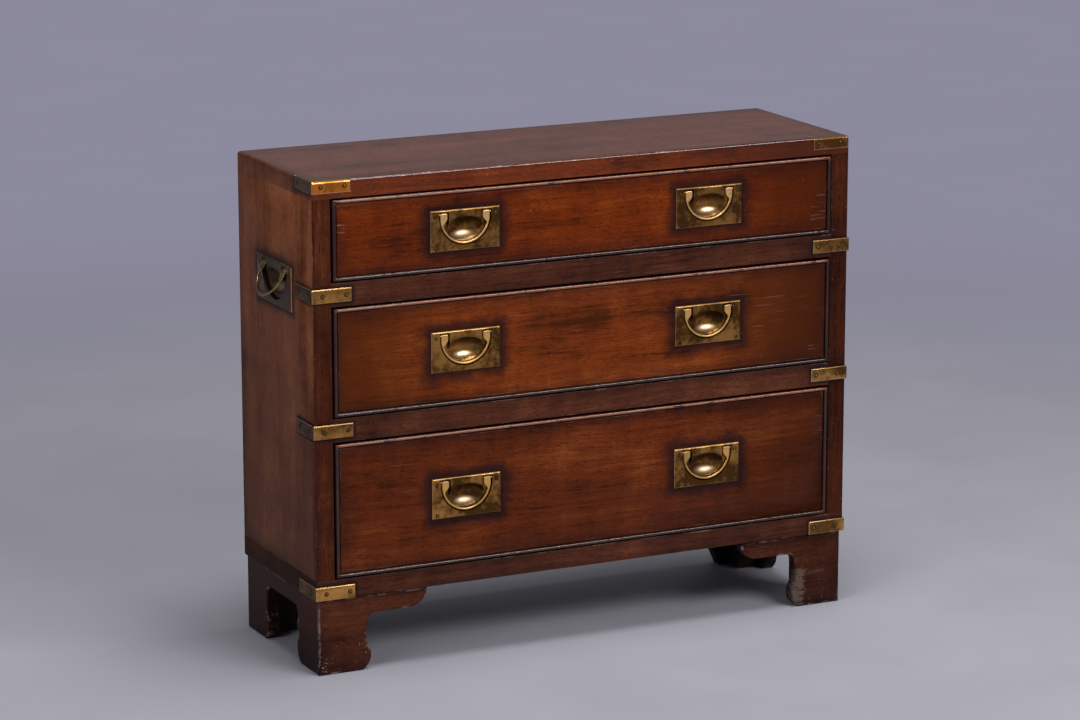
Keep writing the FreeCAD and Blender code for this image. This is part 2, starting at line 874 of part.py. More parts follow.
def bail(name, kind):
    """A bail about its own pivot: two broad tabs that narrow to a thin bow, and a pivot on each tab."""
    body = new_body(name)
    face = new_sketch(body, "XZ_Plane")
    half = f"{kind}bail_half_width"
    shoulder = f"(-{kind}bail_shoulder)"
    tab = f"({half} - {kind}tab_width)"
    inner = f"({tab} + {kind}bow_spread)"
    inner_level = f"({shoulder} - {kind}bow_width)"
    inner_drop = f"({kind}bail_drop - {kind}bow_width + {inner_level})"
    corners = [(f"-{half}", "bail_rise")]
    corners += arch_corners(half, f"({kind}bail_drop - {kind}bail_shoulder)", shoulder, 1)
    corners += [(half, "bail_rise"), (tab, "bail_rise"), (tab, f"-{kind}tab_length")]
    corners += arch_corners(inner, inner_drop, inner_level, -1)
    corners += [(f"-{tab}", f"-{kind}tab_length"), (f"-{tab}", "bail_rise")]
    outline(face, corners)
    pad(body, face, "bail_thickness", middle=True)
    pivot = new_sketch(body, "YZ_Plane", half)
    octagon(pivot, "pivot_radius")
    trunnion = pad(body, pivot, "recess_margin + pivot_length - bail_gap")
    mirror_features(body, [trunnion], "YZ_Plane")
    return body


def stand(item, across, back, up, turn=0, swing=0):
    """Place a handle's piece, turned round the upright and swung out round its own level axis."""
    item.setExpression(
        "Placement",
        formula(
            f"create(<<placement>>; create(<<vector>>; {across}; {back}; {up}); "
            f"create(<<rotation>>; create(<<vector>>; 0; 0; 1); {turn}) * "
            f"create(<<rotation>>; create(<<vector>>; 1; 0; 0); -({swing})))"
        ),
    )


def build_side_handles():
    plate = handle_plate("side_plate", "side_")
    stand(plate, LEFT, 0, "side_handle_height", turn=-90)
    swinging = bail("side_bail", "side_")
    depth = f"{LEFT} + pivot_depth - plate_proud"
    level = f"side_handle_height + {pivot_level('side_')}"
    stand(swinging, depth, 0, level, turn=-90, swing="side_bail_angle")
    node(group([plate, mirrored(plate, "side_plate_right")], "side_plates"), "side_handle_plates")
    pair(swinging, "side_bail")


# ---------------------------------------------------------------- drawers
# A drawer's pieces are made about the middle of the lower front edge of its opening.


def tail_count(opening):
    return max(2, round(value(opening) / value("tail_pitch")))


def joint_corners(narrow, wide, low, high, narrow_half, wide_half):
    """A dovetail's outline seen from the side, between its narrow and its wide end."""
    return [
        (narrow, f"{low} - {narrow_half}"),
        (wide, f"{low} - {wide_half}"),
        (wide, f"{high} + {wide_half}"),
        (narrow, f"{high} + {narrow_half}"),
    ]


def flare(length):
    """Half the width of a pin at its wide end."""
    return f"(pin_width / 2 + ({length}) / dovetail_slope)"


def front_joint(opening):
    """The lapped joint at the front: its pitch, and where its first pin and its top pin are."""
    count = tail_count(opening)
    height = f"({opening} - 2 * front_gap)"
    return count, height, f"({height} / {count})"


def back_joint(opening):
    """The through joint at the back: how many pins, their pitch and the height of the first one."""
    count = tail_count(opening) - 1
    height = f"({opening} - front_gap - {PANEL_TOP})"
    pitch = f"({height} / {count})"
    return count, pitch, f"({PANEL_TOP} + {pitch} / 2)"


def drawer_front(name, opening):
    """A front with a raised field, a rebate for its beads, sockets for the sides and two handle mortises."""
    body = new_body(f"{name}_front")
    steps = (
        ("0", "front_thickness", "front_thickness - bead_depth"),
        ("bead_thickness", "bead_depth", "bead_depth - quirk_depth"),
        ("bead_thickness + quirk_width", "quirk_depth", "quirk_depth"),
    )
    for margin, back, depth in steps:
        field = new_sketch(body, "XZ_Plane", f"-({back})")
        rectangle(
            field,
            f"-{FRONT_WIDTH} / 2 + {margin}",
            f"front_gap + {margin}",
            f"{FRONT_WIDTH} / 2 - ({margin})",
            f"{opening} - front_gap - ({margin})",
        )
        pad(body, field, depth)
    cut_panel_groove_in_front(body)
    cut_tail_sockets(body, opening)
    middle = f"({opening} / 2)"
    for across in ("-handle_offset", "handle_offset"):
        cut_handle_mortise(body, "XZ_Plane", 0, across, middle, "", along=False)
    return body


def cut_panel_groove_in_front(body):
    groove = new_sketch(body, "XZ_Plane", "-front_thickness")
    reach = f"({LINING_INNER} + groove_depth)"
    rectangle(groove, f"-{reach}", PANEL_FLOOR, reach, PANEL_TOP)
    pocket(body, groove, "groove_depth", along=True)


def cut_tail_sockets(body, opening):
    """A row of tail-shaped sockets in each end of a drawer front, behind the lap."""
    count, _, pitch = front_joint(opening)
    half_pin = "(pin_width / 2)"
    root = flare("front_thickness - lap_thickness")
    first = "front_gap"
    second = f"(front_gap + {pitch})"
    for side in (LEFT_SIDE, RIGHT_SIDE):
        socket = new_sketch(body, "YZ_Plane", f"-{FRONT_WIDTH} / 2 * {side}")
        corners = joint_corners(
            "lap_thickness", "front_thickness", first, second, f"(-{half_pin})", f"(-{root})"
        )
        outline(socket, corners)
        cut = pocket(body, socket, "lining_thickness", along=side == LEFT_SIDE)
        repeat(body, cut, "Z_Axis", f"{pitch} * {count - 1}", count)


def drawer_side(name, opening):
    """A side lining: tails at the front, room for the back's pins and a groove for the panel."""
    body = new_body(f"{name}_side")
    board = new_sketch(body, "YZ_Plane", f"-{FRONT_WIDTH} / 2")
    rectangle(board, "lap_thickness", "running_gap", DRAWER_DEPTH, f"{opening} - front_gap")
    pad(body, board, "lining_thickness")
    count, height, _ = front_joint(opening)
    length = "front_thickness - lap_thickness"
    gap = new_sketch(body, "YZ_Plane", f"-{FRONT_WIDTH} / 2")
    corners = joint_corners(
        "lap_thickness", "front_thickness", "front_gap", "front_gap", "pin_width / 2", flare(length)
    )
    outline(gap, corners)
    cut = pocket(body, gap, "lining_thickness", along=True)
    repeat(body, cut, "Z_Axis", height, count + 1)
    pins, pitch, first = back_joint(opening)
    slot = new_sketch(body, "YZ_Plane", f"-{FRONT_WIDTH} / 2")
    outline(slot, back_pin_corners(first))
    cut = pocket(body, slot, "lining_thickness", along=True)
    repeat(body, cut, "Z_Axis", f"{pitch} * {pins - 1}", pins)
    groove = new_sketch(body, "YZ_Plane", f"-{LINING_INNER}")
    rectangle(groove, "lap_thickness", PANEL_FLOOR, DRAWER_DEPTH, PANEL_TOP)
    pocket(body, groove, "groove_depth")
    return body


def back_pin_corners(level):
    """A pin of the drawer back, wide at the inner face and narrow at the outer one."""
    return joint_corners(
        DRAWER_DEPTH,
        f"{DRAWER_DEPTH} - back_lining_thickness",
        level,
        level,
        "pin_width / 2",
        flare("back_lining_thickness"),
    )


def drawer_back(name, opening):
    """The back lining: it stands on the panel, and its pins pass through the sides."""
    body = new_body(f"{name}_back")
    board = new_sketch(body, "XZ_Plane", f"-{DRAWER_DEPTH}")
    rectangle(board, f"-{LINING_INNER}", PANEL_TOP, LINING_INNER, f"{opening} - front_gap")
    pad(body, board, "back_lining_thickness")
    count, pitch, first = back_joint(opening)
    for side in (LEFT_SIDE, RIGHT_SIDE):
        pin = new_sketch(body, "YZ_Plane", f"-{LINING_INNER} * {side}")
        outline(pin, back_pin_corners(first))
        added = pad(body, pin, "lining_thickness", reverse=side == LEFT_SIDE)
        repeat(body, added, "Z_Axis", f"{pitch} * {count - 1}", count)
    return body


def drawer_panel(name, floor):
    """The bottom panel, held in the grooves of the front and the sides and under the back."""
    reach = f"({LINING_INNER} + groove_depth)"
    front = "(front_thickness - groove_depth)"
    return box(
        f"{name}_panel",
        f"-{reach}",
        f"{FRONT} + {front}",
        f"{floor} + {PANEL_FLOOR}",
        f"2 * {reach}",
        f"{DRAWER_DEPTH} - {front}",
        "panel_thickness",
    )


def bead(name, length):
    """A bead along the X axis: a round nose in front, and ends mitred towards the field above it."""
    body = new_body(name)
    shoulder = "(bead_nose - bead_projection)"
    section = new_sketch(body, "YZ_Plane")
    outline(
        section,
        [
            ("bead_depth", 0),
            ("bead_depth", "bead_thickness"),
            (shoulder, "bead_thickness", arc_radius("bead_thickness", 0, "bead_nose"), 1),
            (shoulder, 0),
        ],
    )
    pad(body, section, length, middle=True)
    for side in (LEFT_SIDE, RIGHT_SIDE):
        corner = new_sketch(body, "XZ_Plane")
        end = f"{length} / 2"
        outline(
            corner,
            [
                (f"({end}) * {side}", 0),
                (f"({end}) * {side}", "bead_thickness"),
                (f"({end} - bead_thickness) * {side}", "bead_thickness"),
            ],
        )
        pocket(body, corner, "2 * (bead_projection + bead_depth)", middle=True)
    return body


def drawer_beads(name, opening):
    """Four mitred beads round the edges of a drawer front."""
    height = f"({opening} - 2 * front_gap)"
    middle = f"{opening} / 2"
    half = f"{FRONT_WIDTH} / 2"
    places = (
        (FRONT_WIDTH, 0, "0", "front_gap"),
        (FRONT_WIDTH, 180, "0", f"{opening} - front_gap"),
        (height, 90, f"-{half}", middle),
        (height, -90, half, middle),
    )
    strips = []
    for length, turn, across, up in places:
        strip = bead(f"{name}_bead", length)
        turned = FreeCAD.Rotation(FreeCAD.Vector(0, 1, 0), turn)
        strip.Placement = FreeCAD.Placement(FreeCAD.Vector(), turned)
        place(strip, across, 0, up)
        strips.append(strip)
    return group(strips, f"{name}_beads")


def build_drawer(name, opening, floor):
    """One drawer with its two handles."""
    label = f"{name}_drawer"
    front = drawer_front(name, opening)
    side = drawer_side(name, opening)
    back = drawer_back(name, opening)
    beads = drawer_beads(name, opening)
    for item in (front, side, back, beads):
        place(item, 0, FRONT, floor)
    node(front, f"{label}_front")
    pair(side, f"{label}_side")
    node(back, f"{label}_back")
    node(drawer_panel(name, floor), f"{label}_bottom")
    node(beads, f"{label}_cock_beads")
    build_drawer_handles(name, opening, floor)


def build_drawer_handles(name, opening, floor):
    middle = f"{floor} + {opening} / 2"
    plate = handle_plate(f"{name}_plate", "")
    stand(plate, "-handle_offset", FRONT, middle)
    swinging = bail(f"{name}_bail", "")
    stand(swinging, "-handle_offset", f"{FRONT} + pivot_depth - plate_proud", f"{middle} + {pivot_level('')}")
    plates = group([plate, mirrored(plate, f"{name}_plate_right")], f"{name}_plates")
    node(plates, f"{name}_drawer_handle_plates")
    pair(swinging, f"{name}_bail")


# ---------------------------------------------------------------- check and write


def check_features():
    """Stop on any failed feature, and on any cut that takes nothing away."""
    for item in doc.Objects:
        if "Invalid" in item.State or "Error" in item.State:
            raise RuntimeError(f"{item.Name} of {item.Label} has failed")
        if item.TypeId in ("PartDesign::Pocket", "PartDesign::Groove"):
            if item.Shape.Volume >= item.BaseFeature.Shape.Volume:
                raise RuntimeError(f"{item.Name} cuts nothing")


def check_nodes():
    for item in nodes:
        if item.Shape.isNull() or not item.Shape.isValid() or item.Shape.Volume <= 0:
            raise RuntimeError(f"{item.Label} isn't a valid solid")


def write_nodes():
    os.makedirs("parts", exist_ok=True)
    for item in nodes:
        item.Shape.exportStep(f"parts/{item.Label}.step")


fill_sheet()
build_case()
build_feet()
build_brackets()
build_side_handles()
for drawer, (opening_height, opening_floor) in OPENINGS.items():
    build_drawer(drawer, opening_height, opening_floor)
doc.recompute()
check_features()
check_nodes()
write_nodes()
print(f"{len(nodes)} sub-parts, {sum(len(item.Shape.Solids) for item in nodes)} solids")
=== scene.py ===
"""Campaign chest: wood, brass and stage for a three-drawer chest in mahogany.

Each operator makes or finishes one group of pieces. New surfaces are worked out with numpy from a few
sizes; lengths are in metres, and MM turns millimetres into them.
"""

import math

import bmesh
import bpy
import numpy as np
from mathutils import Matrix, Vector


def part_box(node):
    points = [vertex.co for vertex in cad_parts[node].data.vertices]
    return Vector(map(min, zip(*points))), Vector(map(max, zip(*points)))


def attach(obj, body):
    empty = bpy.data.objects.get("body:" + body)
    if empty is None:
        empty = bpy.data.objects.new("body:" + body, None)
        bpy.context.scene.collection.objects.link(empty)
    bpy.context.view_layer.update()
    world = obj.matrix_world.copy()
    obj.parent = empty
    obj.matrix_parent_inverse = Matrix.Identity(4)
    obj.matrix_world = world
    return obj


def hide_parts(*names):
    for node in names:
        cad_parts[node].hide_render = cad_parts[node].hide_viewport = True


bl_info = {
    "name": "Campaign Chest",
    "version": (1, 0, 0),
    "blender": (4, 5, 0),
    "location": "View3D > Sidebar > Chest",
    "description": "Dresses a three-drawer campaign chest in mahogany and brass",
    "category": "Object",
}

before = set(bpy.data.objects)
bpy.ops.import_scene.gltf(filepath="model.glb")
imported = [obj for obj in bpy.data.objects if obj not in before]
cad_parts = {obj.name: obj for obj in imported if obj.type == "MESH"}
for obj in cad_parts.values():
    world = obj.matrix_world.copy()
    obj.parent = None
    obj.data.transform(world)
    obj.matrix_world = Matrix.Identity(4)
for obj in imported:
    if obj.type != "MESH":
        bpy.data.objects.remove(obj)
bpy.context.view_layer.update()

MM = 0.001
DRAWERS = ("upper", "middle", "lower")
SIDES = ("left", "right")
RIGHT, BACK, UP = (1, 0, 0), (0, 1, 0), (0, 0, 1)
LEFT, FORWARD = (-1, 0, 0), (0, -1, 0)


# ---------------------------------------------------------------- settings


def length(name, description, default):
    kind = {"min": 0, "unit": "LENGTH", "subtype": "DISTANCE", "precision": 5}
    return bpy.props.FloatProperty(name=name, description=description, default=default, **kind)


def share(name, description, default):
    kind = {"min": 0, "soft_max": 1, "subtype": "FACTOR"}
    return bpy.props.FloatProperty(name=name, description=description, default=default, **kind)


def colour(name, description, default):
    kind = {"min": 0, "max": 1, "size": 3, "subtype": "COLOR"}
    return bpy.props.FloatVectorProperty(name=name, description=description, default=default, **kind)


class ChestSizes(bpy.types.PropertyGroup):
    """Small forms that the boards and the brass get."""

    board_easing: length("Board easing", "Width of the worn round on a board's arrises", 1.4 * MM)
    top_easing: length("Top easing", "Width of the worn round along the top", 3.8 * MM)
    rail_easing: length("Rail easing", "Width of the round on the rails", 0.8 * MM)
    groove_easing: length("Groove easing", "Width of the round on grooves and mortises", 0.3 * MM)
    foot_easing: length("Foot easing", "Width of the worn round on the feet", 2.2 * MM)
    bead_nose: length("Bead nose", "How far a cock bead's nose is rounded", 1.9 * MM)
    strap_bevel: length("Strap bevel", "Width of the bevel round a strap", 0.9 * MM)
    screw_head: length("Screw head", "Diameter of the screws in the handle plates", 6.2 * MM)
    screw_slot: length("Screw slot", "Width of the slot in a screw", 0.7 * MM)
    pin_head: length("Pin head", "Diameter of the pins in the brackets", 6.4 * MM)


class ChestFinish(bpy.types.PropertyGroup):
    """Colours of the wood and the brass, and how worn they are."""

    # The soil colour is also the colour of painted shade: round the brass and towards the foot of upright
    # boards.
    soil_and_shade: colour("Soil", "Old polish and dirt in corners and round the brass", (0.0085, 0.0045, 0.0062))
    worn: colour("Worn arris", "Bare wood and scratches on the arrises", (0.42, 0.25, 0.2))
    brass_bright: colour("Bright brass", "Rubbed brass", (0.72, 0.4, 0.112))
    brass_dull: colour("Dull brass", "Brass under its patina", (0.125, 0.062, 0.017))
    brass_dark: colour("Dark brass", "Tarnish in the corners of the brass", (0.022, 0.014, 0.0075))
    backdrop: colour("Backdrop", "The floor far behind the chest", (0.242, 0.232, 0.316))
    floor: colour("Floor", "The floor of the stage", (0.372, 0.365, 0.415))
    wear: share("Wear", "How much of each arris is rubbed pale", 0.62)
    # Grime also sets how dark the painted shadow round the brass is.
    grime_and_shade: share("Grime", "How dark the old polish is round the brass and in corners", 0.85)


# Each wood has a dark, a middle and a light tone, which are settings too: front_dark, front_middle and so on.
TONES = ("dark", "middle", "light")
WOODS = {
    "front": ((0.05, 0.0095, 0.001), (0.15, 0.0255, 0.003), (0.28, 0.064, 0.008)),
    "side": ((0.075, 0.021, 0.0085), (0.178, 0.06, 0.0262), (0.29, 0.115, 0.054)),
    "top": ((0.04, 0.012, 0.008), (0.104, 0.034, 0.0225), (0.15, 0.055, 0.038)),
    "foot": ((0.024, 0.0058, 0.0025), (0.072, 0.0185, 0.008), (0.15, 0.045, 0.018)),
    "lining": ((0.17, 0.075, 0.034), (0.31, 0.15, 0.074), (0.42, 0.235, 0.12)),
    "pine": ((0.13, 0.066, 0.03), (0.24, 0.128, 0.06), (0.33, 0.19, 0.095)),
    "stain": ((0.008, 0.0045, 0.003), (0.020, 0.011, 0.007), (0.045, 0.027, 0.017)),
}
for look, tones in WOODS.items():
    for tone, default in zip(TONES, tones):
        label = f"{look} {tone}".capitalize()
        setting = colour(label, f"The {tone} bands of the {look} wood", default)
        ChestFinish.__annotations__[f"{look}_{tone}"] = setting


def settings():
    return bpy.context.scene.chest_sizes, bpy.context.scene.chest_finish


# ---------------------------------------------------------------- boxes


def corners_of(node):
    """The low and the high corner of a node's box."""
    return tuple(np.array(corner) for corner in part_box(node))


def folded_box(node):
    """A node's box when the left side of the chest is folded over to the right."""
    low, high = corners_of(node)
    near, far = sorted((abs(low[0]), abs(high[0])))
    low[0], high[0] = -far if low[0] < 0 < high[0] else near, far
    return tuple(low), tuple(high)


def halo_round(box, reach):
    """A halo's place for a box: its centre, its half size and how many millimetres it reaches."""
    low, high = np.array(box[0]), np.array(box[1])
    return tuple((low + high) / 2), tuple((high - low) / 2), reach


# ---------------------------------------------------------------- surfaces

MERGED = 1e-6
TOUCHING = 2e-5
FLAT_ANGLE = math.radians(0.5)
SHARP = 35
EVERY_SIDE = ((1, 1, 1), (1, 1, 1))


def grid_faces(rows, columns, ring=False):
    """Quads of a grid of points stored row by row; in a ring the last point of each row meets its first."""
    row, column = np.meshgrid(np.arange(rows - 1), np.arange(columns if ring else columns - 1), indexing="ij")
    here, after = row * columns, (column + 1) % columns
    corners = (here + column, here + after, here + columns + after, here + columns + column)
    return np.stack(corners, axis=-1).reshape(-1, 4).tolist()


def joined(*shells):
    """Several surfaces as one: the points are stacked and the faces count on from them."""
    points, faces, marks, start = [], [], [], 0
    for shell in shells:
        points.append(shell[0])
        faces += [[start + corner for corner in face] for face in shell[1]]
        marks.append(shell[2] if len(shell) > 2 else np.zeros(len(shell[0])))
        start += len(shell[0])
    return np.concatenate(points), faces, np.concatenate(marks)


def moved(shell, origin, across, up, out):
    """A surface worked out in a face's own three directions, put where that face is."""
    base = np.array([across, up, out], float)
    return (np.asarray(shell[0]) @ base + np.asarray(origin, float),) + tuple(shell[1:])


def on_front(shell, origin):
    return moved(shell, origin, RIGHT, UP, FORWARD)


def on_left(shell, origin):
    return moved(shell, origin, FORWARD, UP, LEFT)


def mirrored(shell):
    """The same surface on the other side of the chest."""
    return (shell[0] * (-1, 1, 1),) + tuple(shell[1:])


def add_piece(name, mesh, body, materials, replaced, crease):
    """Stand a mesh in the scene, smooth below the crease angle, on its body, for its nodes."""
    mesh.polygons.foreach_set("use_smooth", np.ones(len(mesh.polygons), bool))
    mesh.set_sharp_from_angle(angle=math.radians(crease))
    mesh.materials.clear()
    for material in materials:
        mesh.materials.append(material)
    piece = bpy.data.objects.new(name, mesh)
    bpy.context.scene.collection.objects.link(piece)
    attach(piece, body)
    if replaced:
        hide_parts(*replaced)
    return piece


def make_piece(name, shell, body, materials, replaced=(), crease=35):
    """A mesh object from a surface: doubles merged and faces turned outwards."""
    mesh = bpy.data.meshes.new(name)
    mesh.from_pydata(shell[0].tolist(), [], shell[1])
    if len(shell) > 2:
        mark = mesh.attributes.new("mark", "FLOAT", "POINT")
        mark.data.foreach_set("value", np.asarray(shell[2], np.float32))
    tidy = bmesh.new()
    tidy.from_mesh(mesh)
    bmesh.ops.remove_doubles(tidy, verts=tidy.verts, dist=MERGED)
    bmesh.ops.recalc_face_normals(tidy, faces=tidy.faces)
    tidy.to_mesh(mesh)
    tidy.free()
    return add_piece(name, mesh, body, materials, replaced, crease)


def merged_copy(name, node):
    """A node's mesh with its doubles merged and its flat faces whole, and the angle at each of its edges."""
    mesh = bpy.data.meshes.new(name)
    tidy = bmesh.new()
    tidy.from_mesh(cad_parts[node].data)
    bmesh.ops.remove_doubles(tidy, verts=tidy.verts, dist=MERGED)
    bmesh.ops.dissolve_limit(tidy, angle_limit=FLAT_ANGLE, verts=tidy.verts, edges=tidy.edges)
    tidy.edges.ensure_lookup_table()
    tidy.to_mesh(mesh)
    angles = np.array([edge.calc_face_angle(0) for edge in tidy.edges])
    tidy.free()
    return mesh, angles


def edge_ends(mesh):
    """The places of the two ends of every edge."""
    points = np.empty(len(mesh.vertices) * 3)
    mesh.vertices.foreach_get("co", points)
    ends = np.empty(len(mesh.edges) * 2, np.int64)
    mesh.edges.foreach_get("vertices", ends)
    points = points.reshape(-1, 3)
    return points[ends[0::2]], points[ends[1::2]]


def eased_copy(name, node, slot, materials, easing, fine, body="case", joint=None, sides=EVERY_SIDE):
    """A merged copy of a board with its arrises rounded.

    An edge that lies on two sides of the board's box gets the whole easing, any other sharp edge the fine
    one. A joint is a level, the least reach from the middle at which the boards meet there, and the width
    that an upright edge keeps on both boards: the edges in it stay sharp, so that no line shows. Sides of
    the box that are set to zero don't count.
    """
    mesh, angles = merged_copy(name, node)
    edges = edge_ends(mesh)
    first, second = edges
    on_low, on_high = (
        (abs(first - side) < TOUCHING) & (abs(second - side) < TOUCHING) & np.array(counted, bool)
        for side, counted in zip(corners_of(node), sides)
    )
    outer = (on_low | on_high).sum(axis=1) >= 2
    weight = np.where(angles > math.radians(SHARP), np.where(outer, 1.0, fine / easing), 0.0)
    if joint is not None:
        level, reach, upright = joint
        meets = [(abs(end[:, 2] - level) < TOUCHING) & (abs(end[:, 0]) > reach - TOUCHING) for end in edges]
        weight[outer & (abs(first[:, 2] - second[:, 2]) > TOUCHING)] = upright / easing
        weight[meets[0] & meets[1]] = 0
    layer = mesh.attributes.new("bevel_weight_edge", "FLOAT", "EDGE")
    layer.data.foreach_set("value", weight.astype(np.float32))
    piece = add_piece(name, mesh, body, materials, [node], SHARP)
    rounding = piece.modifiers.new("easing", "BEVEL")
    rounding.width = easing
    rounding.segments = 3
    rounding.limit_method = "WEIGHT"
    rounding.use_clamp_overlap = False
    rounding.harden_normals = True
    return piece




def face_material(piece, direction, material, beyond=-1.0, facing=0.9):
    """Give the faces that look one way, and lie further that way than a limit, a material of their own."""
    mesh = piece.data
    count = len(mesh.polygons)
    normals, centres, slots = np.empty(count * 3), np.empty(count * 3), np.empty(count, np.int32)
    mesh.polygons.foreach_get("normal", normals)
    mesh.polygons.foreach_get("center", centres)
    mesh.polygons.foreach_get("material_index", slots)
    way = np.array(direction, float)
    chosen = (normals.reshape(-1, 3) @ way > facing) & (centres.reshape(-1, 3) @ way > beyond)
    mesh.materials.append(material)
    slots[chosen] = len(mesh.materials) - 1
    mesh.polygons.foreach_set("material_index", slots)


def arc(start, end, rise, count):
    """Points on a circle from one place to another, without the last.

    The arc stands off its chord by the rise, to the right of the way for a positive one.
    """
    start, end = np.array(start, float), np.array(end, float)
    chord = end - start
    reach = np.hypot(*chord)
    radius = reach**2 / (8 * rise) + rise / 2
    across = np.array([-chord[1], chord[0]]) / reach
    centre = (start + end) / 2 + across * (radius - rise)
    turn = 2 * math.asin(reach / (2 * radius))
    angles = math.atan2(*(start - centre)[::-1]) + np.linspace(0, turn, count, endpoint=False)
    return centre + abs(radius) * np.stack([np.cos(angles), np.sin(angles)], axis=1)


def inset(loop, distance):
    """A closed loop moved inwards: each point goes along the mitre of its two edges."""
    edges = np.roll(loop, -1, axis=0) - loop
    edges /= np.hypot(edges[:, :1], edges[:, 1:])
    normals = np.stack([-edges[:, 1], edges[:, 0]], axis=1)
    before = np.roll(normals, 1, axis=0)
    mitre = (normals + before) / (1 + (normals * before).sum(axis=1, keepdims=True))
    return loop + mitre * distance


WORN_MARK, SAWN_MARK, RUB_MARK = 1.0, 0.5, 0.25
SAWN_SETBACK = 1.2 * MM
RUB_STEPS = (1.0 * MM, 2.4 * MM)


def slab(loop, thickness, easing, steps):
    """A board with a curved outline, in (across, up, out) with its face at out 0.

    Rings of the outline go round a quarter circle at the back edge and at the face edge:
    inset = e (1 - sin t), depth = e (1 - cos t). Two more rings on the face carry the rubbing inwards,
    and each end is closed by one many-sided face. The mark is 1 on the worn edge and 0.5 on the sawn side.
    """
    turn = np.linspace(0, math.pi / 2, steps + 1)
    insets = easing * (1 - np.sin(turn))
    depths = easing * (1 - np.cos(turn))
    rings = [(distance, depth - thickness, SAWN_MARK) for distance, depth in zip(insets, depths)]
    rings.append((0.0, -easing - SAWN_SETBACK, SAWN_MARK))
    rings += [(distance, -depth, WORN_MARK) for distance, depth in zip(insets[::-1], depths[::-1])]
    rings += [(easing + step, 0.0, mark) for step, mark in zip(RUB_STEPS, (RUB_MARK, 0.0))]
    count = len(loop)
    points = [np.column_stack([inset(loop, distance), np.full(count, level)]) for distance, level, _ in rings]
    faces = grid_faces(len(rings), count, ring=True)
    last = (len(rings) - 1) * count
    faces += [list(range(count))[::-1], list(range(last, last + count))]
    return np.concatenate(points), faces, np.repeat([mark for _, _, mark in rings], count)


def carried(section, corners_in, corners_out):
    """A closed section carried round a closed frame.

    A section point (t, h) lies at outer + (inner - outer) t across the frame and h in front of it.
    """
    across, front = section[:, :1, None], section[:, 1:]
    flat = corners_out[None] + (corners_in - corners_out)[None] * across
    heights = np.broadcast_to(front[:, None], flat.shape[:2] + (1,))
    points = np.concatenate([flat, heights], axis=2).transpose(1, 0, 2)
    closed = np.concatenate([points, points[:1]])
    return closed.reshape(-1, 3), grid_faces(len(closed), len(section), ring=True)


# ---------------------------------------------------------------- shader building

VECTOR, COLOUR, VALUE = "NodeSocketVector", "NodeSocketColor", "NodeSocketFloat"


class Value:
    """What a socket gives, on its way through a node tree: each sum or product adds a Math node."""

    def __init__(self, tree, socket):
        self.tree, self.socket = tree, socket

    def __add__(self, other):
        return self.tree.math("ADD", self, other)

    def __sub__(self, other):
        return self.tree.math("SUBTRACT", self, other)

    def __rsub__(self, other):
        return self.tree.math("SUBTRACT", other, self)

    def __mul__(self, other):
        return self.tree.math("MULTIPLY", self, other)

    def __truediv__(self, other):
        return self.tree.math("DIVIDE", self, other)

    def __pow__(self, other):
        return self.tree.math("POWER", self, other)

    def clamped(self):
        return self.tree.math("ADD", self, 0.0, clamp=True)


class Tree:
    """A node tree and the few moves that fill it: add a node, set or link its sockets."""

    def __init__(self, nodes, links):
        self.nodes = nodes
        self.links = links

    def add(self, kind, inputs=None, **options):
        node = self.nodes.new(kind)
        for option, setting in options.items():
            setattr(node, option, setting)
        self.feed_all(node.inputs, inputs or {})
        return node

    def feed_all(self, sockets, feeds):
        for socket, feed in feeds.items():
            self.feed(sockets[socket], feed)

    def feed(self, socket, feed):
        """Link a socket to a value, or set it to a number or a colour."""
        if isinstance(feed, Value):
            self.links.new(feed.socket, socket)
        elif isinstance(feed, (tuple, list, Vector)) and len(socket.default_value) == 4:
            socket.default_value = (*feed[:3], 1)
        else:
            socket.default_value = feed

    def output(self, kind, inputs=None, which=0, **options):
        return Value(self, self.add(kind, inputs, **options).outputs[which])

    def math(self, operation, first, second=0.0, clamp=False):
        return self.output("ShaderNodeMath", {0: first, 1: second}, operation=operation, use_clamp=clamp)

    def least(self, first, second):
        return self.math("MINIMUM", first, second)

    def most(self, first, second):
        return self.math("MAXIMUM", first, second)

    def vector(self, operation, first, second=(0, 0, 0)):
        return self.output("ShaderNodeVectorMath", {0: first, 1: second}, operation=operation)

    def distance(self, vector):
        return self.output("ShaderNodeVectorMath", {0: vector}, "Value", operation="LENGTH")

    def parts(self, vector):
        """The three numbers of a vector."""
        node = self.add("ShaderNodeSeparateXYZ", {0: vector})
        return [Value(self, output) for output in node.outputs]

    def mark(self):
        """The piece's own number at each point: hollow, rubbed or sawn, or painted shade and highlight."""
        return self.output("ShaderNodeAttribute", which="Fac", attribute_name="mark")

    def noise(self, vector, stretch, detail=2.0, roughness=0.5):
        """Noise whose forms are one metre over the stretch long, in each direction or in all."""
        stretch = stretch if isinstance(stretch, tuple) else (stretch,) * 3
        scaled = self.vector("MULTIPLY", vector, stretch)
        inputs = {"Vector": scaled, "Scale": 1.0, "Detail": detail, "Roughness": roughness}
        return self.output("ShaderNodeTexNoise", inputs)

    def folded(self, vector):
        """The place on the right side of the chest that mirrors, or is, this one."""
        across, back, up = self.parts(vector)
        return self.output("ShaderNodeCombineXYZ", {0: self.math("ABSOLUTE", across), 1: back, 2: up})

    def ramp(self, value, low, high, start=0.0, end=1.0):
        """A smooth step from one number to another between two values."""
        inputs = {"Value": value, "From Min": low, "From Max": high, "To Min": start, "To Max": end}
        return self.output("ShaderNodeMapRange", inputs, interpolation_type="SMOOTHSTEP")

    def mix(self, factor, first, second):
        return self.output("ShaderNodeMix", {0: factor, 6: first, 7: second}, 2, data_type="RGBA")

    def bump(self, shader, height, strength, distance):
        inputs = {"Height": height, "Strength": strength, "Distance": distance}
        self.feed(shader.inputs["Normal"], self.output("ShaderNodeBump", inputs))


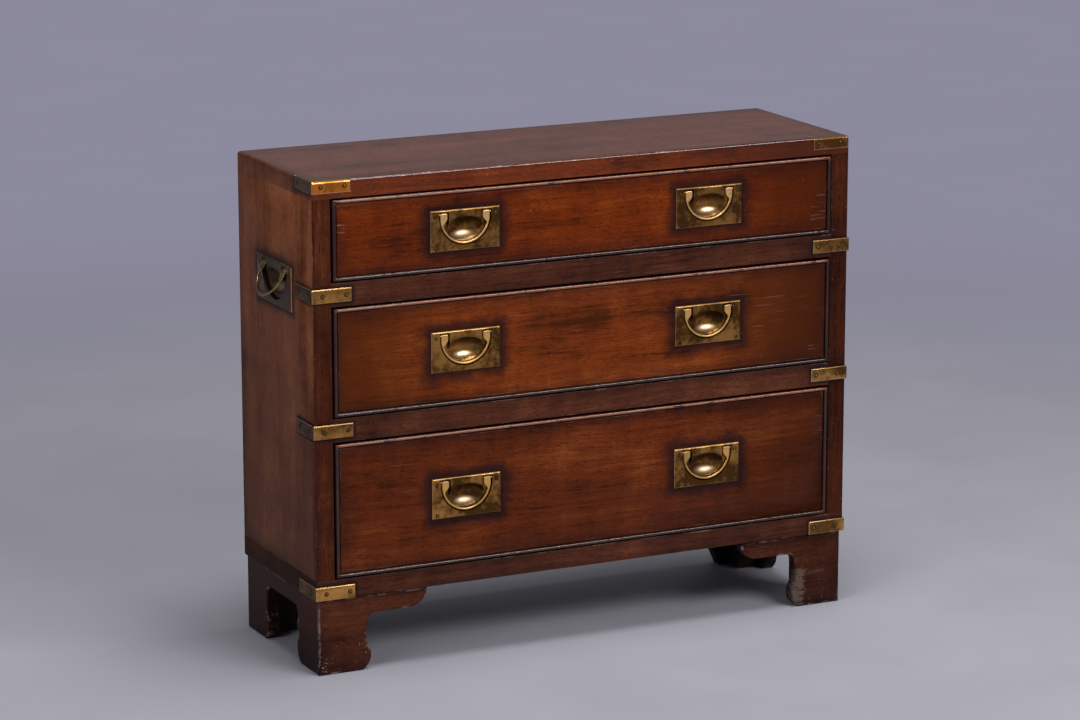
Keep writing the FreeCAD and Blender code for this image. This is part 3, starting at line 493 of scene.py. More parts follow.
def new_group(name, inputs, outputs):
    """A shader node group with named sockets; returns its tree, what comes in, and its last node."""
    group = bpy.data.node_groups.new(name, "ShaderNodeTree")
    for way, sockets in (("INPUT", inputs), ("OUTPUT", outputs)):
        for label, kind in sockets.items():
            group.interface.new_socket(label, in_out=way, socket_type=kind)
    tree = Tree(group.nodes, group.links)
    source = tree.add("NodeGroupInput").outputs
    return tree, {label: Value(tree, source[label]) for label in inputs}, tree.add("NodeGroupOutput").inputs


def colours(*labels):
    return dict.fromkeys(labels, COLOUR)


def use_group(tree, name, **inputs):
    node = tree.add("ShaderNodeGroup", node_tree=bpy.data.node_groups[name])
    tree.feed_all(node.inputs, inputs)
    return {output.name: Value(tree, output) for output in node.outputs}


def build_grain_group():
    """Grain along the vector's first direction: bands, streaks, fine lines, cross mottle and short pores."""
    inputs = {"Vector": VECTOR, "Streaks": VALUE, "Pores": VALUE, **colours("Dark", "Middle", "Light")}
    outputs = {"Color": COLOUR, "Height": VALUE, "Figure": VALUE}
    tree, source, out = new_group("wood_grain", inputs, outputs)
    place = source["Vector"]
    drift = (tree.noise(place, (2.4, 7.0, 7.0), 2.0) - 0.5) * 0.05
    bent = tree.vector("ADD", place, tree.output("ShaderNodeCombineXYZ", {"Y": drift, "Z": drift}))
    bands = tree.noise(bent, (2.2, 24.0, 24.0), 3.0)
    streaks = tree.noise(bent, (9.0, 210.0, 210.0), 5.0, 0.65)
    fine = tree.noise(bent, (45.0, 1200.0, 1200.0), 2.0)
    mottle = tree.noise(place, (26.0, 14.0, 14.0), 4.0, 0.65)
    clouds = tree.noise(place, (5.0, 10.0, 10.0), 3.0)
    figure = (clouds - 0.5) * 0.75 + 0.5 + (bands - 0.5) * 1.2 + (mottle - 0.5) * 0.8
    figure = figure + ((fine - 0.5) * 0.6 + (streaks - 0.5)) * (source["Streaks"] * 2.0)
    low = tree.mix(tree.ramp(figure, 0.05, 0.55), source["Dark"], source["Middle"])
    ground = tree.mix(tree.ramp(figure, 0.5, 1.05), low, source["Light"])
    pores = tree.ramp(tree.noise(bent, (150.0, 900.0, 900.0), 2.0), 0.53, 0.68) * source["Pores"]
    deep = tree.mix(0.7, source["Dark"], (0.004, 0.002, 0.0015))
    height = fine * 0.35 - pores
    tree.feed_all(out, {"Color": tree.mix(pores, ground, deep), "Height": height, "Figure": figure})


def build_arris_group():
    """How far a point is from the nearest arris of a box, and where that arris is rubbed or soiled.

    Both sides of the chest share a box on its right side, so the point is folded over to that side.
    The distance is the middle one of the point's distances from the box's sides in the three directions.
    """
    inputs = {"Vector": VECTOR, "Low": VECTOR, "High": VECTOR, "Wear": VALUE, "Reach": VALUE, "Least": VALUE}
    tree, source, out = new_group("arris_wear", inputs, {"Distance": VALUE, "Worn": VALUE, "Soiled": VALUE})
    place = tree.folded(source["Vector"])
    from_low = tree.vector("ABSOLUTE", tree.vector("SUBTRACT", place, source["Low"]))
    from_high = tree.vector("ABSOLUTE", tree.vector("SUBTRACT", source["High"], place))
    across, back, up = tree.parts(tree.vector("MINIMUM", from_low, from_high))
    distance = tree.most(tree.least(across, back), tree.least(tree.most(across, back), up))
    patches = tree.noise(source["Vector"], 22.0, 4.0, 0.7)
    nibbles = tree.noise(source["Vector"], 240.0, 3.0, 0.6)
    # Least widens every rubbed line; along the top's arrises that pale line is wear and also a painted
    # highlight.
    width = tree.ramp(patches, 0.46, 0.70, 0.0001, 0.0019) + source["Least"]
    rubbed = (1.0 - distance / (width * tree.ramp(nibbles, 0.3, 0.7, 0.3, 1.5))).clamped()
    cloud = tree.noise(source["Vector"], 14.0, 3.0)
    near = (1.0 - distance / (source["Reach"] * tree.ramp(cloud, 0.3, 0.7, 0.5, 1.6))).clamped()
    worn = tree.ramp(rubbed, 0.0, 0.6) * source["Wear"]
    tree.feed_all(out, {"Distance": distance, "Worn": worn, "Soiled": near**1.6})


def build_halo_group():
    """A dark halo round a box: one at its sides, falling to nothing at the reach, with a ragged rim."""
    inputs = {"Vector": VECTOR, "Centre": VECTOR, "Half": VECTOR, "Reach": VALUE}
    tree, source, out = new_group("halo_round_box", inputs, {"Mask": VALUE})
    away = tree.vector("SUBTRACT", tree.folded(source["Vector"]), source["Centre"])
    outside = tree.vector("SUBTRACT", tree.vector("ABSOLUTE", away), source["Half"])
    distance = tree.distance(tree.vector("MAXIMUM", outside))
    ragged = tree.noise(source["Vector"], 34.0, 4.0, 0.6)
    near = (1.0 - distance / (source["Reach"] * tree.ramp(ragged, 0.25, 0.75, 0.55, 1.45))).clamped()
    tree.feed(out["Mask"], tree.ramp(near, 0.0, 1.0))


def build_marks_group():
    """Handling marks: thin scratches along the grain, pale specks and small dark dents."""
    outputs = {"Scratches": VALUE, "Specks": VALUE, "Dents": VALUE}
    tree, source, out = new_group("handling_marks", {"Vector": VECTOR, "Amount": VALUE}, outputs)
    place, amount = source["Vector"], source["Amount"]
    lines = tree.noise(place, (16.0, 900.0, 900.0), 1.0)
    spread = tree.noise(place, (5.0, 9.0, 9.0), 2.0)
    dots = (amount - 0.6) * 0.035 + tree.noise(place, 420.0, 1.0)
    hollows = tree.noise(place, (110.0, 170.0, 170.0), 2.0)
    tree.feed(out["Scratches"], tree.ramp(lines, 0.70, 0.78) * (tree.ramp(spread, 0.56, 0.72) * amount))
    tree.feed(out["Specks"], (tree.ramp(dots, 0.755, 0.80) * amount).clamped())
    tree.feed(out["Dents"], tree.ramp(hollows, 0.70, 0.80) * amount)


def build_patina_group():
    """Old brass: clouds of dull and bright metal, spots of tarnish and fine rubbing lines."""
    inputs = {"Vector": VECTOR, "Rubbed": VALUE, "TarnishAndShade": VALUE, **colours("Bright", "Dull", "Dark")}
    outputs = {"Color": COLOUR, "Roughness": VALUE, "Height": VALUE}
    tree, source, out = new_group("brass_patina", inputs, outputs)
    place = source["Vector"]
    clouds = tree.noise(place, 24.0, 4.0, 0.6)
    blots = tree.noise(place, 150.0, 3.0, 0.6)
    spots = tree.noise(place, 700.0, 2.0)
    lines = tree.noise(place, (260.0, 1800.0, 2600.0), 2.0)
    shine = (tree.ramp((blots - 0.5) * 0.4 + clouds, 0.34, 0.68) + source["Rubbed"]).clamped()
    tarnish = tree.most(tree.ramp(spots, 0.62, 0.74) * 0.5, tree.ramp(blots, 0.66, 0.80, 0.0, 0.5))
    # Tarnish and shade darken alike here: real tarnish in hollows, and painted shade on the handle plates and
    # side leaves.
    tarnish = tree.most(tarnish, source["TarnishAndShade"]).clamped()
    metal = tree.mix(shine, source["Dull"], source["Bright"])
    tree.feed(out["Color"], tree.mix(tarnish, metal, source["Dark"]))
    tree.feed(out["Roughness"], tarnish * 0.25 + (shine * -0.16 + 0.40))
    tree.feed(out["Height"], (spots + lines) * 0.25 + blots)


def build_groups():
    build_grain_group()
    build_arris_group()
    build_halo_group()
    build_marks_group()
    build_patina_group()


def new_material(name):
    """An empty material with a Principled shader, and the object's coordinates to work from."""
    material = bpy.data.materials.new(name)
    material.use_nodes = True
    material.node_tree.nodes.clear()
    tree = Tree(material.node_tree.nodes, material.node_tree.links)
    shader = tree.add("ShaderNodeBsdfPrincipled")
    output = tree.add("ShaderNodeOutputMaterial")
    tree.links.new(shader.outputs[0], output.inputs["Surface"])
    return material, tree, shader, tree.output("ShaderNodeTexCoord", which="Object")


# The stretch of a scuff's noise: short scratches, small chips, and the rough patches that shoes leave.
SCRATCHED = (28.0, 420.0, 420.0)
CHIPPED = (240.0, 380.0, 380.0)
CHAFED = (60.0, 240.0, 420.0)
GRAIN_TURNS = {"x": (0, 0, 0), "y": (0, 0, -math.pi / 2), "z": (0, math.pi / 2, 0)}
# Where the painted shade at the left and at the right end starts and where it is full.
LEFT_END, RIGHT_END = (-0.14, -0.35), (0.10, 0.34)
FLOOR_WEAR_HEIGHT = 0.06


def wood_tones(look, dim):
    """The three tones of a wood, dimmed by a number or by one for each channel."""
    _, finish = settings()
    tones = {tone: np.array(getattr(finish, f"{look}_{tone}")) * np.array(dim) for tone in TONES}
    return {tone.capitalize(): tuple(tones[tone].tolist()) for tone in TONES}


def halo_mask(tree, place, centre, half, reach):
    """One in a box and at its sides, falling to zero at the reach, which is in millimetres."""
    halo = use_group(tree, "halo_round_box", Vector=place, Centre=centre, Half=half, Reach=reach * MM)
    return halo["Mask"]


def scuffs_on(tree, place, along, scuffs, bare):
    """Add scuffs to the bare places: each is rubbed in a box at the left end, -1, or the right end, 1."""
    for end, centre, half, reach, stretch, strength, threshold in scuffs:
        this_end = tree.math("GREATER_THAN", tree.parts(place)[0] * end, 0.0)
        here = halo_mask(tree, place, centre, half, reach) * this_end
        level = (here - 1.0) * 0.3 + tree.noise(along, stretch, 2.0)
        bare = tree.most(bare, here * tree.ramp(level, threshold, threshold + 0.07, 0.0, strength))
    return bare


def wood(
    name, look, run, box, shift=0.0, *, wear=1.0, reach=30, soiled=0.5, halos=(), marks=0.6,
    gloss=0.36, lustre=0.12, dim=1.0, rubbed=0.0, scuffs=(), ends=(0.0, 0.0), streaks=0.5, least=0.0,
    shade_towards_foot=0.0, bare_tone=None,
):
    """A polished wood: its grain runs along one direction, its box's arrises are rubbed, its corners soiled.

    The halos are boxes, as (centre, half, reach), round which old polish has gathered and a painted shadow
    falls. Scuffs lie in boxes given the same way, after their end and before their stretch, strength and
    threshold. A rubbed piece is pale where its surface is marked as an edge, which on the beads is also a
    painted highlight, and has more handling marks near the floor. The ends are how much painted shade darkens
    the left and right ends of a drawer front or of the top's front edge, and an upright board can get painted
    shade that grows towards its foot.
    """
    _, finish = settings()
    material, tree, shader, place = new_material(name)
    inputs = {"Vector": place, "Location": (shift, shift * 0.61, shift * 1.37), "Rotation": GRAIN_TURNS[run]}
    along = tree.output("ShaderNodeMapping", inputs)
    across, _, up = tree.parts(place)
    tones = wood_tones(look, dim)
    soil_and_shade, worn = tuple(finish.soil_and_shade), bare_tone or tuple(finish.worn)
    low, high = box
    grain = use_group(tree, "wood_grain", Vector=along, Streaks=streaks, Pores=0.55, **tones)
    limits = {"Low": low, "High": high, "Reach": reach * MM, "Least": least * MM}
    arris = use_group(tree, "arris_wear", Vector=place, Wear=finish.wear * wear, **limits)
    amount = tree.ramp(up, 0.0, FLOOR_WEAR_HEIGHT, marks * 2.6, marks) if rubbed else marks
    handled = use_group(tree, "handling_marks", Vector=along, Amount=amount)

    shade = arris["Soiled"] * (soiled * finish.grime_and_shade)
    # Round the brass, old polish and a painted shadow darken the wood.
    for halo in halos:
        shade = tree.most(shade, halo_mask(tree, place, *halo) * finish.grime_and_shade)
    # Painted shade: an upright board gets darker towards its foot.
    if shade_towards_foot:
        shade = (shade + tree.ramp(up, high[2] * 0.8, high[2] * 0.2, 0.0, shade_towards_foot)).clamped()
    ground = grain["Color"]
    # Painted shade: the ends of a drawer front, and of the top's front edge, darken towards the dark tone.
    for (start, stop), darker in zip((LEFT_END, RIGHT_END), ends):
        if darker:
            ground = tree.mix(tree.ramp(across, start, stop, 0.0, darker), ground, tones["Dark"])
    ground = tree.mix(shade, ground, soil_and_shade)
    ground = tree.mix(handled["Dents"] * 0.6, ground, soil_and_shade)

    bare = tree.most(tree.most(handled["Scratches"], handled["Specks"]) * 0.55, arris["Worn"])
    bare = scuffs_on(tree, place, along, scuffs, bare)
    # A rubbed piece is pale on its marked edges: wear, which on the beads is also a painted highlight.
    if rubbed:
        edge = tree.mark()
        ground = tree.mix(tree.ramp(edge, 0.3, 0.45) * tree.ramp(edge, 0.55, 0.7, 0.75, 0.0), ground, soil_and_shade)
        kept = rubbed * 0.38
        patches = tree.ramp(tree.noise(place, 48.0, 4.0, 0.7), 0.71 - kept, 0.85 - kept)
        bare = tree.most(bare, tree.ramp(edge, 0.1, 1.0) * patches * rubbed)
    tree.feed(shader.inputs["Base Color"], tree.mix(bare, ground, worn))
    dull = grain["Figure"] * 0.10 + (gloss - 0.05)
    roughened = 0.06 if lustre > 0.3 else 0.25
    tree.feed(shader.inputs["Roughness"], (bare * roughened + dull).clamped())
    tree.feed(shader.inputs["Specular IOR Level"], lustre)
    height = tree.noise(place, 18.0, 2.0) * 5.0 + grain["Height"] - handled["Dents"] * 2.0
    tree.bump(shader, height, 0.35, 0.00022)
    return material


# A painted highlight: the pale colour laid along brass arrises and low in the handle bowls.
PAINTED_BRASS_HIGHLIGHT = (0.92, 0.68, 0.44)
# How far from an arris the rubbing and the painted highlight reach.
ARRIS_SHINE = 1.4 * MM


def brass(
    name, box, rubbed=0.0, *, hollow=False, side_dark=0.0, shift=0.0, gloss=0.0, tint=(1, 1, 1), metal=1.0
):
    """Old brass: rubbed bright on its box's arrises, with a painted highlight along them, dull on the flat,
    and dark where the surface is marked hollow: tarnish, and on the handle plates painted shade too; a mark
    under zero is a painted highlight.

    The leaf on the side of the chest gets painted shade, so it can be darker than the rest. Handled brass has
    a pale skin of wax, so it can be a little less than all metal.
    """
    _, finish = settings()
    material, tree, shader, place = new_material(name)
    cast = tree.output("ShaderNodeMapping", {"Vector": place, "Location": (shift, shift, shift)})
    low, high = box
    arris = use_group(tree, "arris_wear", Vector=place, Low=low, High=high, Wear=0.9, Reach=9 * MM, Least=0.0)
    # Arrises are rubbed brighter, and the pale line along them is a painted highlight.
    near = (1.0 - arris["Distance"] / ARRIS_SHINE).clamped()
    line = near * near * max(0.0, min(0.7, 0.75 + rubbed))
    if hollow:
        mark = tree.mark()
        # Over zero a mark is tarnish, and on the handle plates painted shade; under zero it is a painted
        # highlight.
        depth = mark.clamped()
        line = tree.most(line, (mark * -0.5).clamped())
    else:
        # Painted shade on the leaf that lies on the side of the chest.
        reach = tree.parts(tree.folded(place))[0]
        depth = tree.ramp(reach, high[0] - 0.6 * MM, high[0] - 0.3 * MM, 0.0, side_dark)
    tones = (finish.brass_bright, finish.brass_dull, finish.brass_dark)
    bright, dull, deep = (tuple(min(part * tinge, 1.0) for part, tinge in zip(tone, tint)) for tone in tones)
    feeds = {"Bright": bright, "Dull": dull, "Dark": deep, "Rubbed": near * 0.8 + rubbed, "TarnishAndShade": depth}
    patina = use_group(tree, "brass_patina", Vector=cast, **feeds)
    tree.feed(shader.inputs["Base Color"], tree.mix(line, patina["Color"], PAINTED_BRASS_HIGHLIGHT))
    tree.feed(shader.inputs["Roughness"], (patina["Roughness"] - gloss).clamped())
    tree.feed(shader.inputs["Metallic"], metal)
    tree.bump(shader, patina["Height"], 0.3, 0.00012)
    return material


# ---------------------------------------------------------------- handles

# The sizes of the handles in millimetres: first on the drawers, then on the sides.
HANDLE_SIZES = {
    "width": (95.6, 113.0),
    "height": (52.4, 57.5),
    "half": (34.0, 39.0),
    "drop": (38.8, 42.5),
    "shoulder": (6.0, 6.5),
    "tab": (9.8, 11.8),
    "tab_length": (5.5, 6.0),
    "bow": (2.8, 3.6),
    "spread": (6.6, 7.6),
    "bowl_long": (26.8, 30.0),
    "bowl_high": (16.3, 17.0),
    "bowl_deep": (12.0, 13.5),
    "pivot_drop": (5.9, 6.6),
}
DRAWER_HANDLE, SIDE_HANDLE = (dict(zip(HANDLE_SIZES, sizes)) for sizes in zip(*HANDLE_SIZES.values()))
PLATE_THICKNESS = 5.4
PLATE_PROUD = 1.5
BOX_BACK = -4
PLATE_BEVEL = 1.4
BEVEL_SLOPE = 0.8
PLATE_MESH = 0.45
PAN_WALL = 1.5
PAN_SPREAD = 2.5
BACK_ROWS, BACK_COLUMNS = 25, 41
PIVOT_DEPTH = 1.8
PIVOT_REACH = (-0.5, 3.6)
BAIL_THICKNESS = 3.0
BAIL_RISE = 1.2
BAIL_CLEAR = 2.32
RECESS_MARGIN = 1.2
RECESS_STEP = 0.7
LAND_DROP = 16.0
BOWL_POWER = 2.15
DISH_POWER = 0.8
SCREW_INSET = 6.5
SCREW_HIGH = 8.0
SCREW_LOW = 4.1
SCREW_SUNK = 0.02
HANDLE_OFFSET = 172.9
SIDE_BAIL_SWING = math.radians(28)
SIDE_ARC_SHARE = 0.7


def arch_circles(half, drop):
    """The radii of a bow's side arcs, a share of the drop, and of its middle arc, which fits the width."""
    side = drop * SIDE_ARC_SHARE
    middle = (half**2 + drop**2 - 2 * half * side) / (2 * (drop - side))
    return side, middle


def arch_distance(across, up, half, drop, level):
    """How far a point is inside a bow: straight sides above the level, three arcs below it."""
    side, middle = arch_circles(half, drop)
    reach, fall = abs(across), up - level
    in_middle = np.hypot(reach, fall - (middle - drop))
    in_side = np.hypot(reach - (half - side), fall)
    ray = (half - side) / (middle - drop)
    below = np.where(reach < ray * (middle - drop - fall), middle - in_middle, side - in_side)
    return np.where(fall > 0, half - reach, below)


def arch_points(half, drop, level, count):
    """Points down one side of a bow, along its lowest part and up the other side."""
    side, middle = arch_circles(half, drop)
    turn = math.atan2(middle - drop, half - side)
    low = np.linspace(math.pi, math.pi + turn, count, endpoint=False)
    first = np.stack([side - half + side * np.cos(low), level + side * np.sin(low)], axis=1)
    mid = np.linspace(math.pi + turn, 2 * math.pi - turn, 2 * count + 1)
    centre = np.stack([middle * np.cos(mid), level + (middle - drop) + middle * np.sin(mid)], axis=1)
    return np.concatenate([first, centre, first[::-1] * (-1, 1)])


def plate_box(form, origin, across, out):
    """The box of a handle plate's front, on the right side of the chest."""
    half = np.array((form["width"] / 2, form["height"] / 2, 0))
    corners = np.array([-half + (0, 0, BOX_BACK), half + (0, 0, PLATE_PROUD)])
    points = moved((corners * MM,), origin, across, UP, out)[0]
    return tuple(points.min(axis=0)), tuple(points.max(axis=0))


def drawer_plate_box(drawer):
    low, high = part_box(f"{drawer}_drawer_front")
    return plate_box(DRAWER_HANDLE, (HANDLE_OFFSET * MM, low.y, (low.z + high.z) / 2), RIGHT, FORWARD)


def side_plate_box():
    low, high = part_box("side_handle_plates")
    return plate_box(SIDE_HANDLE, (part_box("side_panel_right")[1].x, 0, (low.z + high.z) / 2), BACK, RIGHT)


def recess_reach(across, up, form):
    """How far a point is inside the bail's recess: in its arch, under its top and off the middle land."""
    pivot = form["height"] / 2 - form["pivot_drop"]
    level, drop = pivot - form["shoulder"], form["drop"] - form["shoulder"] + RECESS_MARGIN
    arch = arch_distance(across, up, form["half"] + RECESS_MARGIN, drop, level)
    arch = np.minimum(arch, pivot + BAIL_CLEAR - up)
    land_half = form["half"] - form["tab"] - RECESS_MARGIN
    land = np.minimum(land_half - abs(across), up - (pivot - LAND_DROP))
    return np.minimum(arch, -land)


def plate_marks(across, up, form, inside, spot, bowl):
    """Where a plate is dark, over zero, and where it is pale, under zero.

    Grime and painted shade lie along the recess's edge, painted shade in the top of the bowl and in a
    crescent inside its rim; low in the bowl, finger polish and a painted highlight make it pale.
    """
    upward = up / form["bowl_high"]
    grime_and_shade = np.clip(1.2 - abs(inside - 0.5) / 1.6, 0, 1) * (1 - bowl)
    bowl_top_shade = np.clip(0.1 + 0.9 * upward + 0.35 * across / form["bowl_long"], 0, 0.75) * bowl
    rim_shade = np.clip((spot - 0.86) * 8, 0, 1) * bowl * np.clip(0.7 + 0.5 * upward, 0.35, 1)
    bowl_highlight = np.clip(1.25 - np.hypot((across + 1.5) / 16.0, (up + 7.6) / 5.4), 0, 1) * bowl
    return np.maximum(np.maximum(grime_and_shade, 0.85 * rim_shade), bowl_top_shade) - bowl_highlight


def plate_relief(across, up, form):
    """Height of a handle plate's front over the wood, and how dark or pale each point is.

    From the flat face the rim falls in a bevel, the bail's recess goes down by a soft step at its outline,
    and the bowl is a dish: depth = deep (1 - s^2)^0.8 with s the place between its middle and its rim.
    """
    rim = np.minimum(form["width"] / 2 - abs(across), form["height"] / 2 - abs(up))
    face = PLATE_PROUD - np.clip(PLATE_BEVEL - rim, 0, None) * BEVEL_SLOPE
    inside = recess_reach(across, up, form)
    step = np.clip((inside + RECESS_STEP / 2) / RECESS_STEP, 0, 1)
    depth = (PIVOT_DEPTH + BAIL_CLEAR) * step * step * (3 - 2 * step)
    spot = (abs(across) / form["bowl_long"]) ** BOWL_POWER + (abs(up) / form["bowl_high"]) ** BOWL_POWER
    spot = spot ** (1 / BOWL_POWER)
    dish = form["bowl_deep"] * np.clip(1 - spot**2, 0, None) ** DISH_POWER - 1.2 * np.clip(spot - 1, 0, 3)
    bowl = np.clip(0.5 + (dish - depth) / 0.5, 0, 1)
    low = depth + (dish - depth) * bowl + 0.25 * bowl * (1 - bowl)
    return face - low, plate_marks(across, up, form, inside, spot, bowl)


def handle_plate(form):
    """A cast plate in (across, up, out): a fine relief in front, a coarse pan behind and flat walls."""
    halves = (form["width"] / 2, form["height"] / 2)
    lines = []
    for half in halves:
        count = int(round((half - PLATE_BEVEL) * 2 / PLATE_MESH))
        flat = np.linspace(PLATE_BEVEL - half, half - PLATE_BEVEL, count + 1)
        bevel_middle = half - 0.5 * PLATE_BEVEL
        lines.append(np.concatenate([[-half, -bevel_middle], flat, [bevel_middle, half]]))
    up, across = np.meshgrid(lines[1], lines[0], indexing="ij")
    height, mark = plate_relief(across, up, form)
    front = np.stack([across, up, height], axis=-1).reshape(-1, 3)
    coarse_lines = [np.linspace(-half, half, count) for half, count in zip(halves, (BACK_COLUMNS, BACK_ROWS))]
    back_up, back_across = np.meshgrid(coarse_lines[1], coarse_lines[0], indexing="ij")
    pan_long, pan_high = form["bowl_long"] + PAN_SPREAD, form["bowl_high"] + PAN_SPREAD
    spot = np.hypot(back_across / pan_long, back_up / pan_high)
    pan = (form["bowl_deep"] + PAN_WALL) * np.clip(1 - spot**2, 0, None) ** DISH_POWER
    back_height = PLATE_PROUD - np.maximum(pan, PLATE_THICKNESS)
    back = np.stack([back_across, back_up, back_height], axis=-1).reshape(-1, 3)
    start = len(front)
    faces = grid_faces(*up.shape)
    faces += [[start + corner for corner in face[::-1]] for face in grid_faces(BACK_ROWS, BACK_COLUMNS)]
    fine = np.arange(start).reshape(up.shape)
    coarse = start + np.arange(len(back)).reshape(BACK_ROWS, BACK_COLUMNS)
    for turned in (False, True):
        rims, behinds = (fine.T, coarse.T) if turned else (fine, coarse)
        faces += [rims[end].tolist() + behinds[end][::-1].tolist() for end in (0, -1)]
    marks = np.concatenate([mark.reshape(-1), np.ones(len(back))])
    return np.concatenate([front, back]) * MM, faces, marks


ARCH_STEPS = 24
NECK_STEPS = 8
SECTION_POINTS = 20
END_STEP = 0.5
STATION_COUNTS = (1, 2, 3, 9, 34, 34, 9, 3, 2, 1)


def bail_outlines(form):
    """The outer and the inner outline of a bail from end to end, each with the point at which its bow starts.

    The inner one has a neck, a curve with four guide points that leads from the tab's corner to the bow.
    """
    half, shoulder = form["half"], -form["shoulder"]
    tab, length_down = half - form["tab"], -form["tab_length"]
    inner_level = shoulder - form["bow"]
    outer_arch = arch_points(half, form["drop"] + shoulder, shoulder, ARCH_STEPS)
    inner_drop = form["drop"] - form["bow"] + inner_level
    inner_arch = arch_points(tab + form["spread"], inner_drop, inner_level, ARCH_STEPS)
    first, last, after = np.array([-tab, length_down]), inner_arch[ARCH_STEPS], inner_arch[ARCH_STEPS + 1]
    pull, lead = first - (0.1, 4.0), last + (last - after) * 2.4
    ease = np.linspace(0, 1, NECK_STEPS + 1)[:-1, None]
    rest = 1 - ease
    neck = first * rest**3 + pull * 3 * ease * rest**2 + lead * 3 * ease**2 * rest + last * ease**3
    tops = [[(side * half, BAIL_RISE), (side * half, length_down)] for side in (-1, 1)]
    outer = np.concatenate([tops[0], outer_arch, tops[1][::-1]])
    bow = inner_arch[ARCH_STEPS:-ARCH_STEPS]
    inner = np.concatenate([[(-tab, BAIL_RISE)], neck, bow, neck[::-1] * (-1, 1), [(tab, BAIL_RISE)]])
    level_with = int(np.argmin(abs(outer_arch[: len(outer_arch) // 2, 1] - last[1] - 0.6)))
    return (outer, 2 + level_with), (inner, 1 + NECK_STEPS)


def stations(path, bow_start, stop):
    """Places along an outline: close together at the ends, along the tabs and in the bow, by the counts."""
    gone = np.concatenate([[0], np.cumsum(np.hypot(*np.diff(path, axis=0).T))])
    whole = gone[-1]
    falling = np.array([0, END_STEP, stop / 2, stop, gone[bow_start]])
    knots = np.concatenate([falling, [whole / 2], whole - falling[::-1]])
    runs = zip(knots, knots[1:], STATION_COUNTS)
    spots = np.concatenate([np.linspace(a, b, count, endpoint=False) for a, b, count in runs] + [[whole]])
    return np.stack([np.interp(spots, gone, path[:, axis]) for axis in range(2)], axis=1)


def bail_shape(form, swing=0.0):
    """A bail about its own pivot in (across, up, out): a ribbon between two outlines with a rounded section.

    Each station joins a point of the outer outline to one of the inner; the section there is a
    superellipse, squarer on the tabs than on the bow. It is then swung out round the pivot.
    """
    stop = BAIL_RISE + form["tab_length"]
    outer_run, inner_run = (stations(path, start, stop) for path, start in bail_outlines(form))
    middle, reach = (outer_run + inner_run) / 2, (outer_run - inner_run) / 2
    width = np.hypot(reach[:, 0], reach[:, 1])
    across = reach / width[:, None]
    count = len(middle)
    end_round = np.ones((count, 1))
    end_round[[0, -1]] = 0.86
    power = 2 / (2.3 + 2.2 * np.clip((width * 2 - form["bow"] - 1) / 4, 0, 1))[:, None]
    angle = np.linspace(0, 2 * math.pi, SECTION_POINTS, endpoint=False)
    cosine, sine = np.cos(angle), np.sin(angle)
    side = np.sign(cosine) * abs(cosine) ** power * width[:, None] * end_round
    points = np.empty((count, SECTION_POINTS, 3))
    points[:, :, :2] = middle[:, None] + across[:, None] * side[:, :, None]
    points[:, :, 2] = np.sign(sine) * abs(sine) ** power * BAIL_THICKNESS / 2 * end_round
    last = (count - 1) * SECTION_POINTS
    faces = grid_faces(count, SECTION_POINTS, ring=True)
    faces += [list(range(SECTION_POINTS)), list(range(last, last + SECTION_POINTS))]
    pivots = [pivot_pin(*(way * (form["half"] + end) for end in PIVOT_REACH)) for way in (-1, 1)]
    points, faces, _ = joined((points.reshape(-1, 3), faces), *pivots)
    up, out = points[:, 1].copy(), points[:, 2].copy()
    points[:, 1] = up * math.cos(swing) + out * math.sin(swing)
    points[:, 2] = out * math.cos(swing) - up * math.sin(swing)
    return points * MM, faces


def pivot_pin(start, end, sides=12):
    """A thin round pin along the first direction, closed at both ends."""
    angle = np.linspace(0, 2 * math.pi, sides, endpoint=False)
    circle = [np.cos(angle), np.sin(angle)]
    rings = [np.stack([np.full(sides, place), *circle], axis=1) for place in (start, end)]
    faces = grid_faces(2, sides, ring=True) + [list(range(sides)), list(range(sides, 2 * sides))]
    return np.concatenate(rings), faces


def screw_head(radius, slot, turn):
    """A slotted screw head: a square grid drawn onto a disc, low in the slot, a little domed."""
    slot_edge = slot / radius / 2
    line = np.array([-1, -0.8, -0.5, -0.22, -slot_edge - 0.02, -slot_edge, 0])
    line = np.concatenate([line, -line[-2::-1]])
    row, column = np.meshgrid(line, line, indexing="ij")
    across = column * np.sqrt(1 - row**2 / 2) * radius
    up = row * np.sqrt(1 - column**2 / 2) * radius
    in_slot = abs(row) <= slot_edge + MERGED
    round_off = np.hypot(across, up) / radius
    height = 0.28 * (1 - round_off**2) - 0.75 * in_slot - 0.12 * (round_off > 0.98)
    turned = across * math.cos(turn) - up * math.sin(turn), across * math.sin(turn) + up * math.cos(turn)
    front = np.stack([*turned, height], axis=-1).reshape(-1, 3)
    index = np.arange(len(front)).reshape(row.shape)
    rim = np.concatenate([index[0, :-1], index[:-1, -1], index[-1, :0:-1], index[:0:-1, 0]])
    low_rim = len(front) + np.arange(len(rim))
    wall = np.stack([low_rim, np.roll(low_rim, -1), np.roll(rim, -1), rim], axis=1)
    faces = grid_faces(*row.shape) + wall.tolist() + [low_rim.tolist()]
    below = front[rim] * (1, 1, 0) + (0, 0, -1.2)
    mark = np.maximum(in_slot * 1.0, np.clip((round_off - 0.45) * 3, 0.6, 1)).reshape(-1)
    return np.concatenate([front, below]), faces, np.concatenate([mark, np.ones(len(rim))])


# A pin's outline from its foot: how far out, as a share of its radius, how high in millimetres, and its mark.
PIN_PROFILE = (
    (1.0, -0.6, 1.0),
    (1.0, 0.02, 1.0),
    (0.90, 0.06, 1.0),
    (0.80, -0.05, 1.0),
    (0.70, 0.22, 1.0),
    (0.42, 0.52, 0.65),
)
PIN_CROWN, CROWN_MARK = 0.62, 0.25


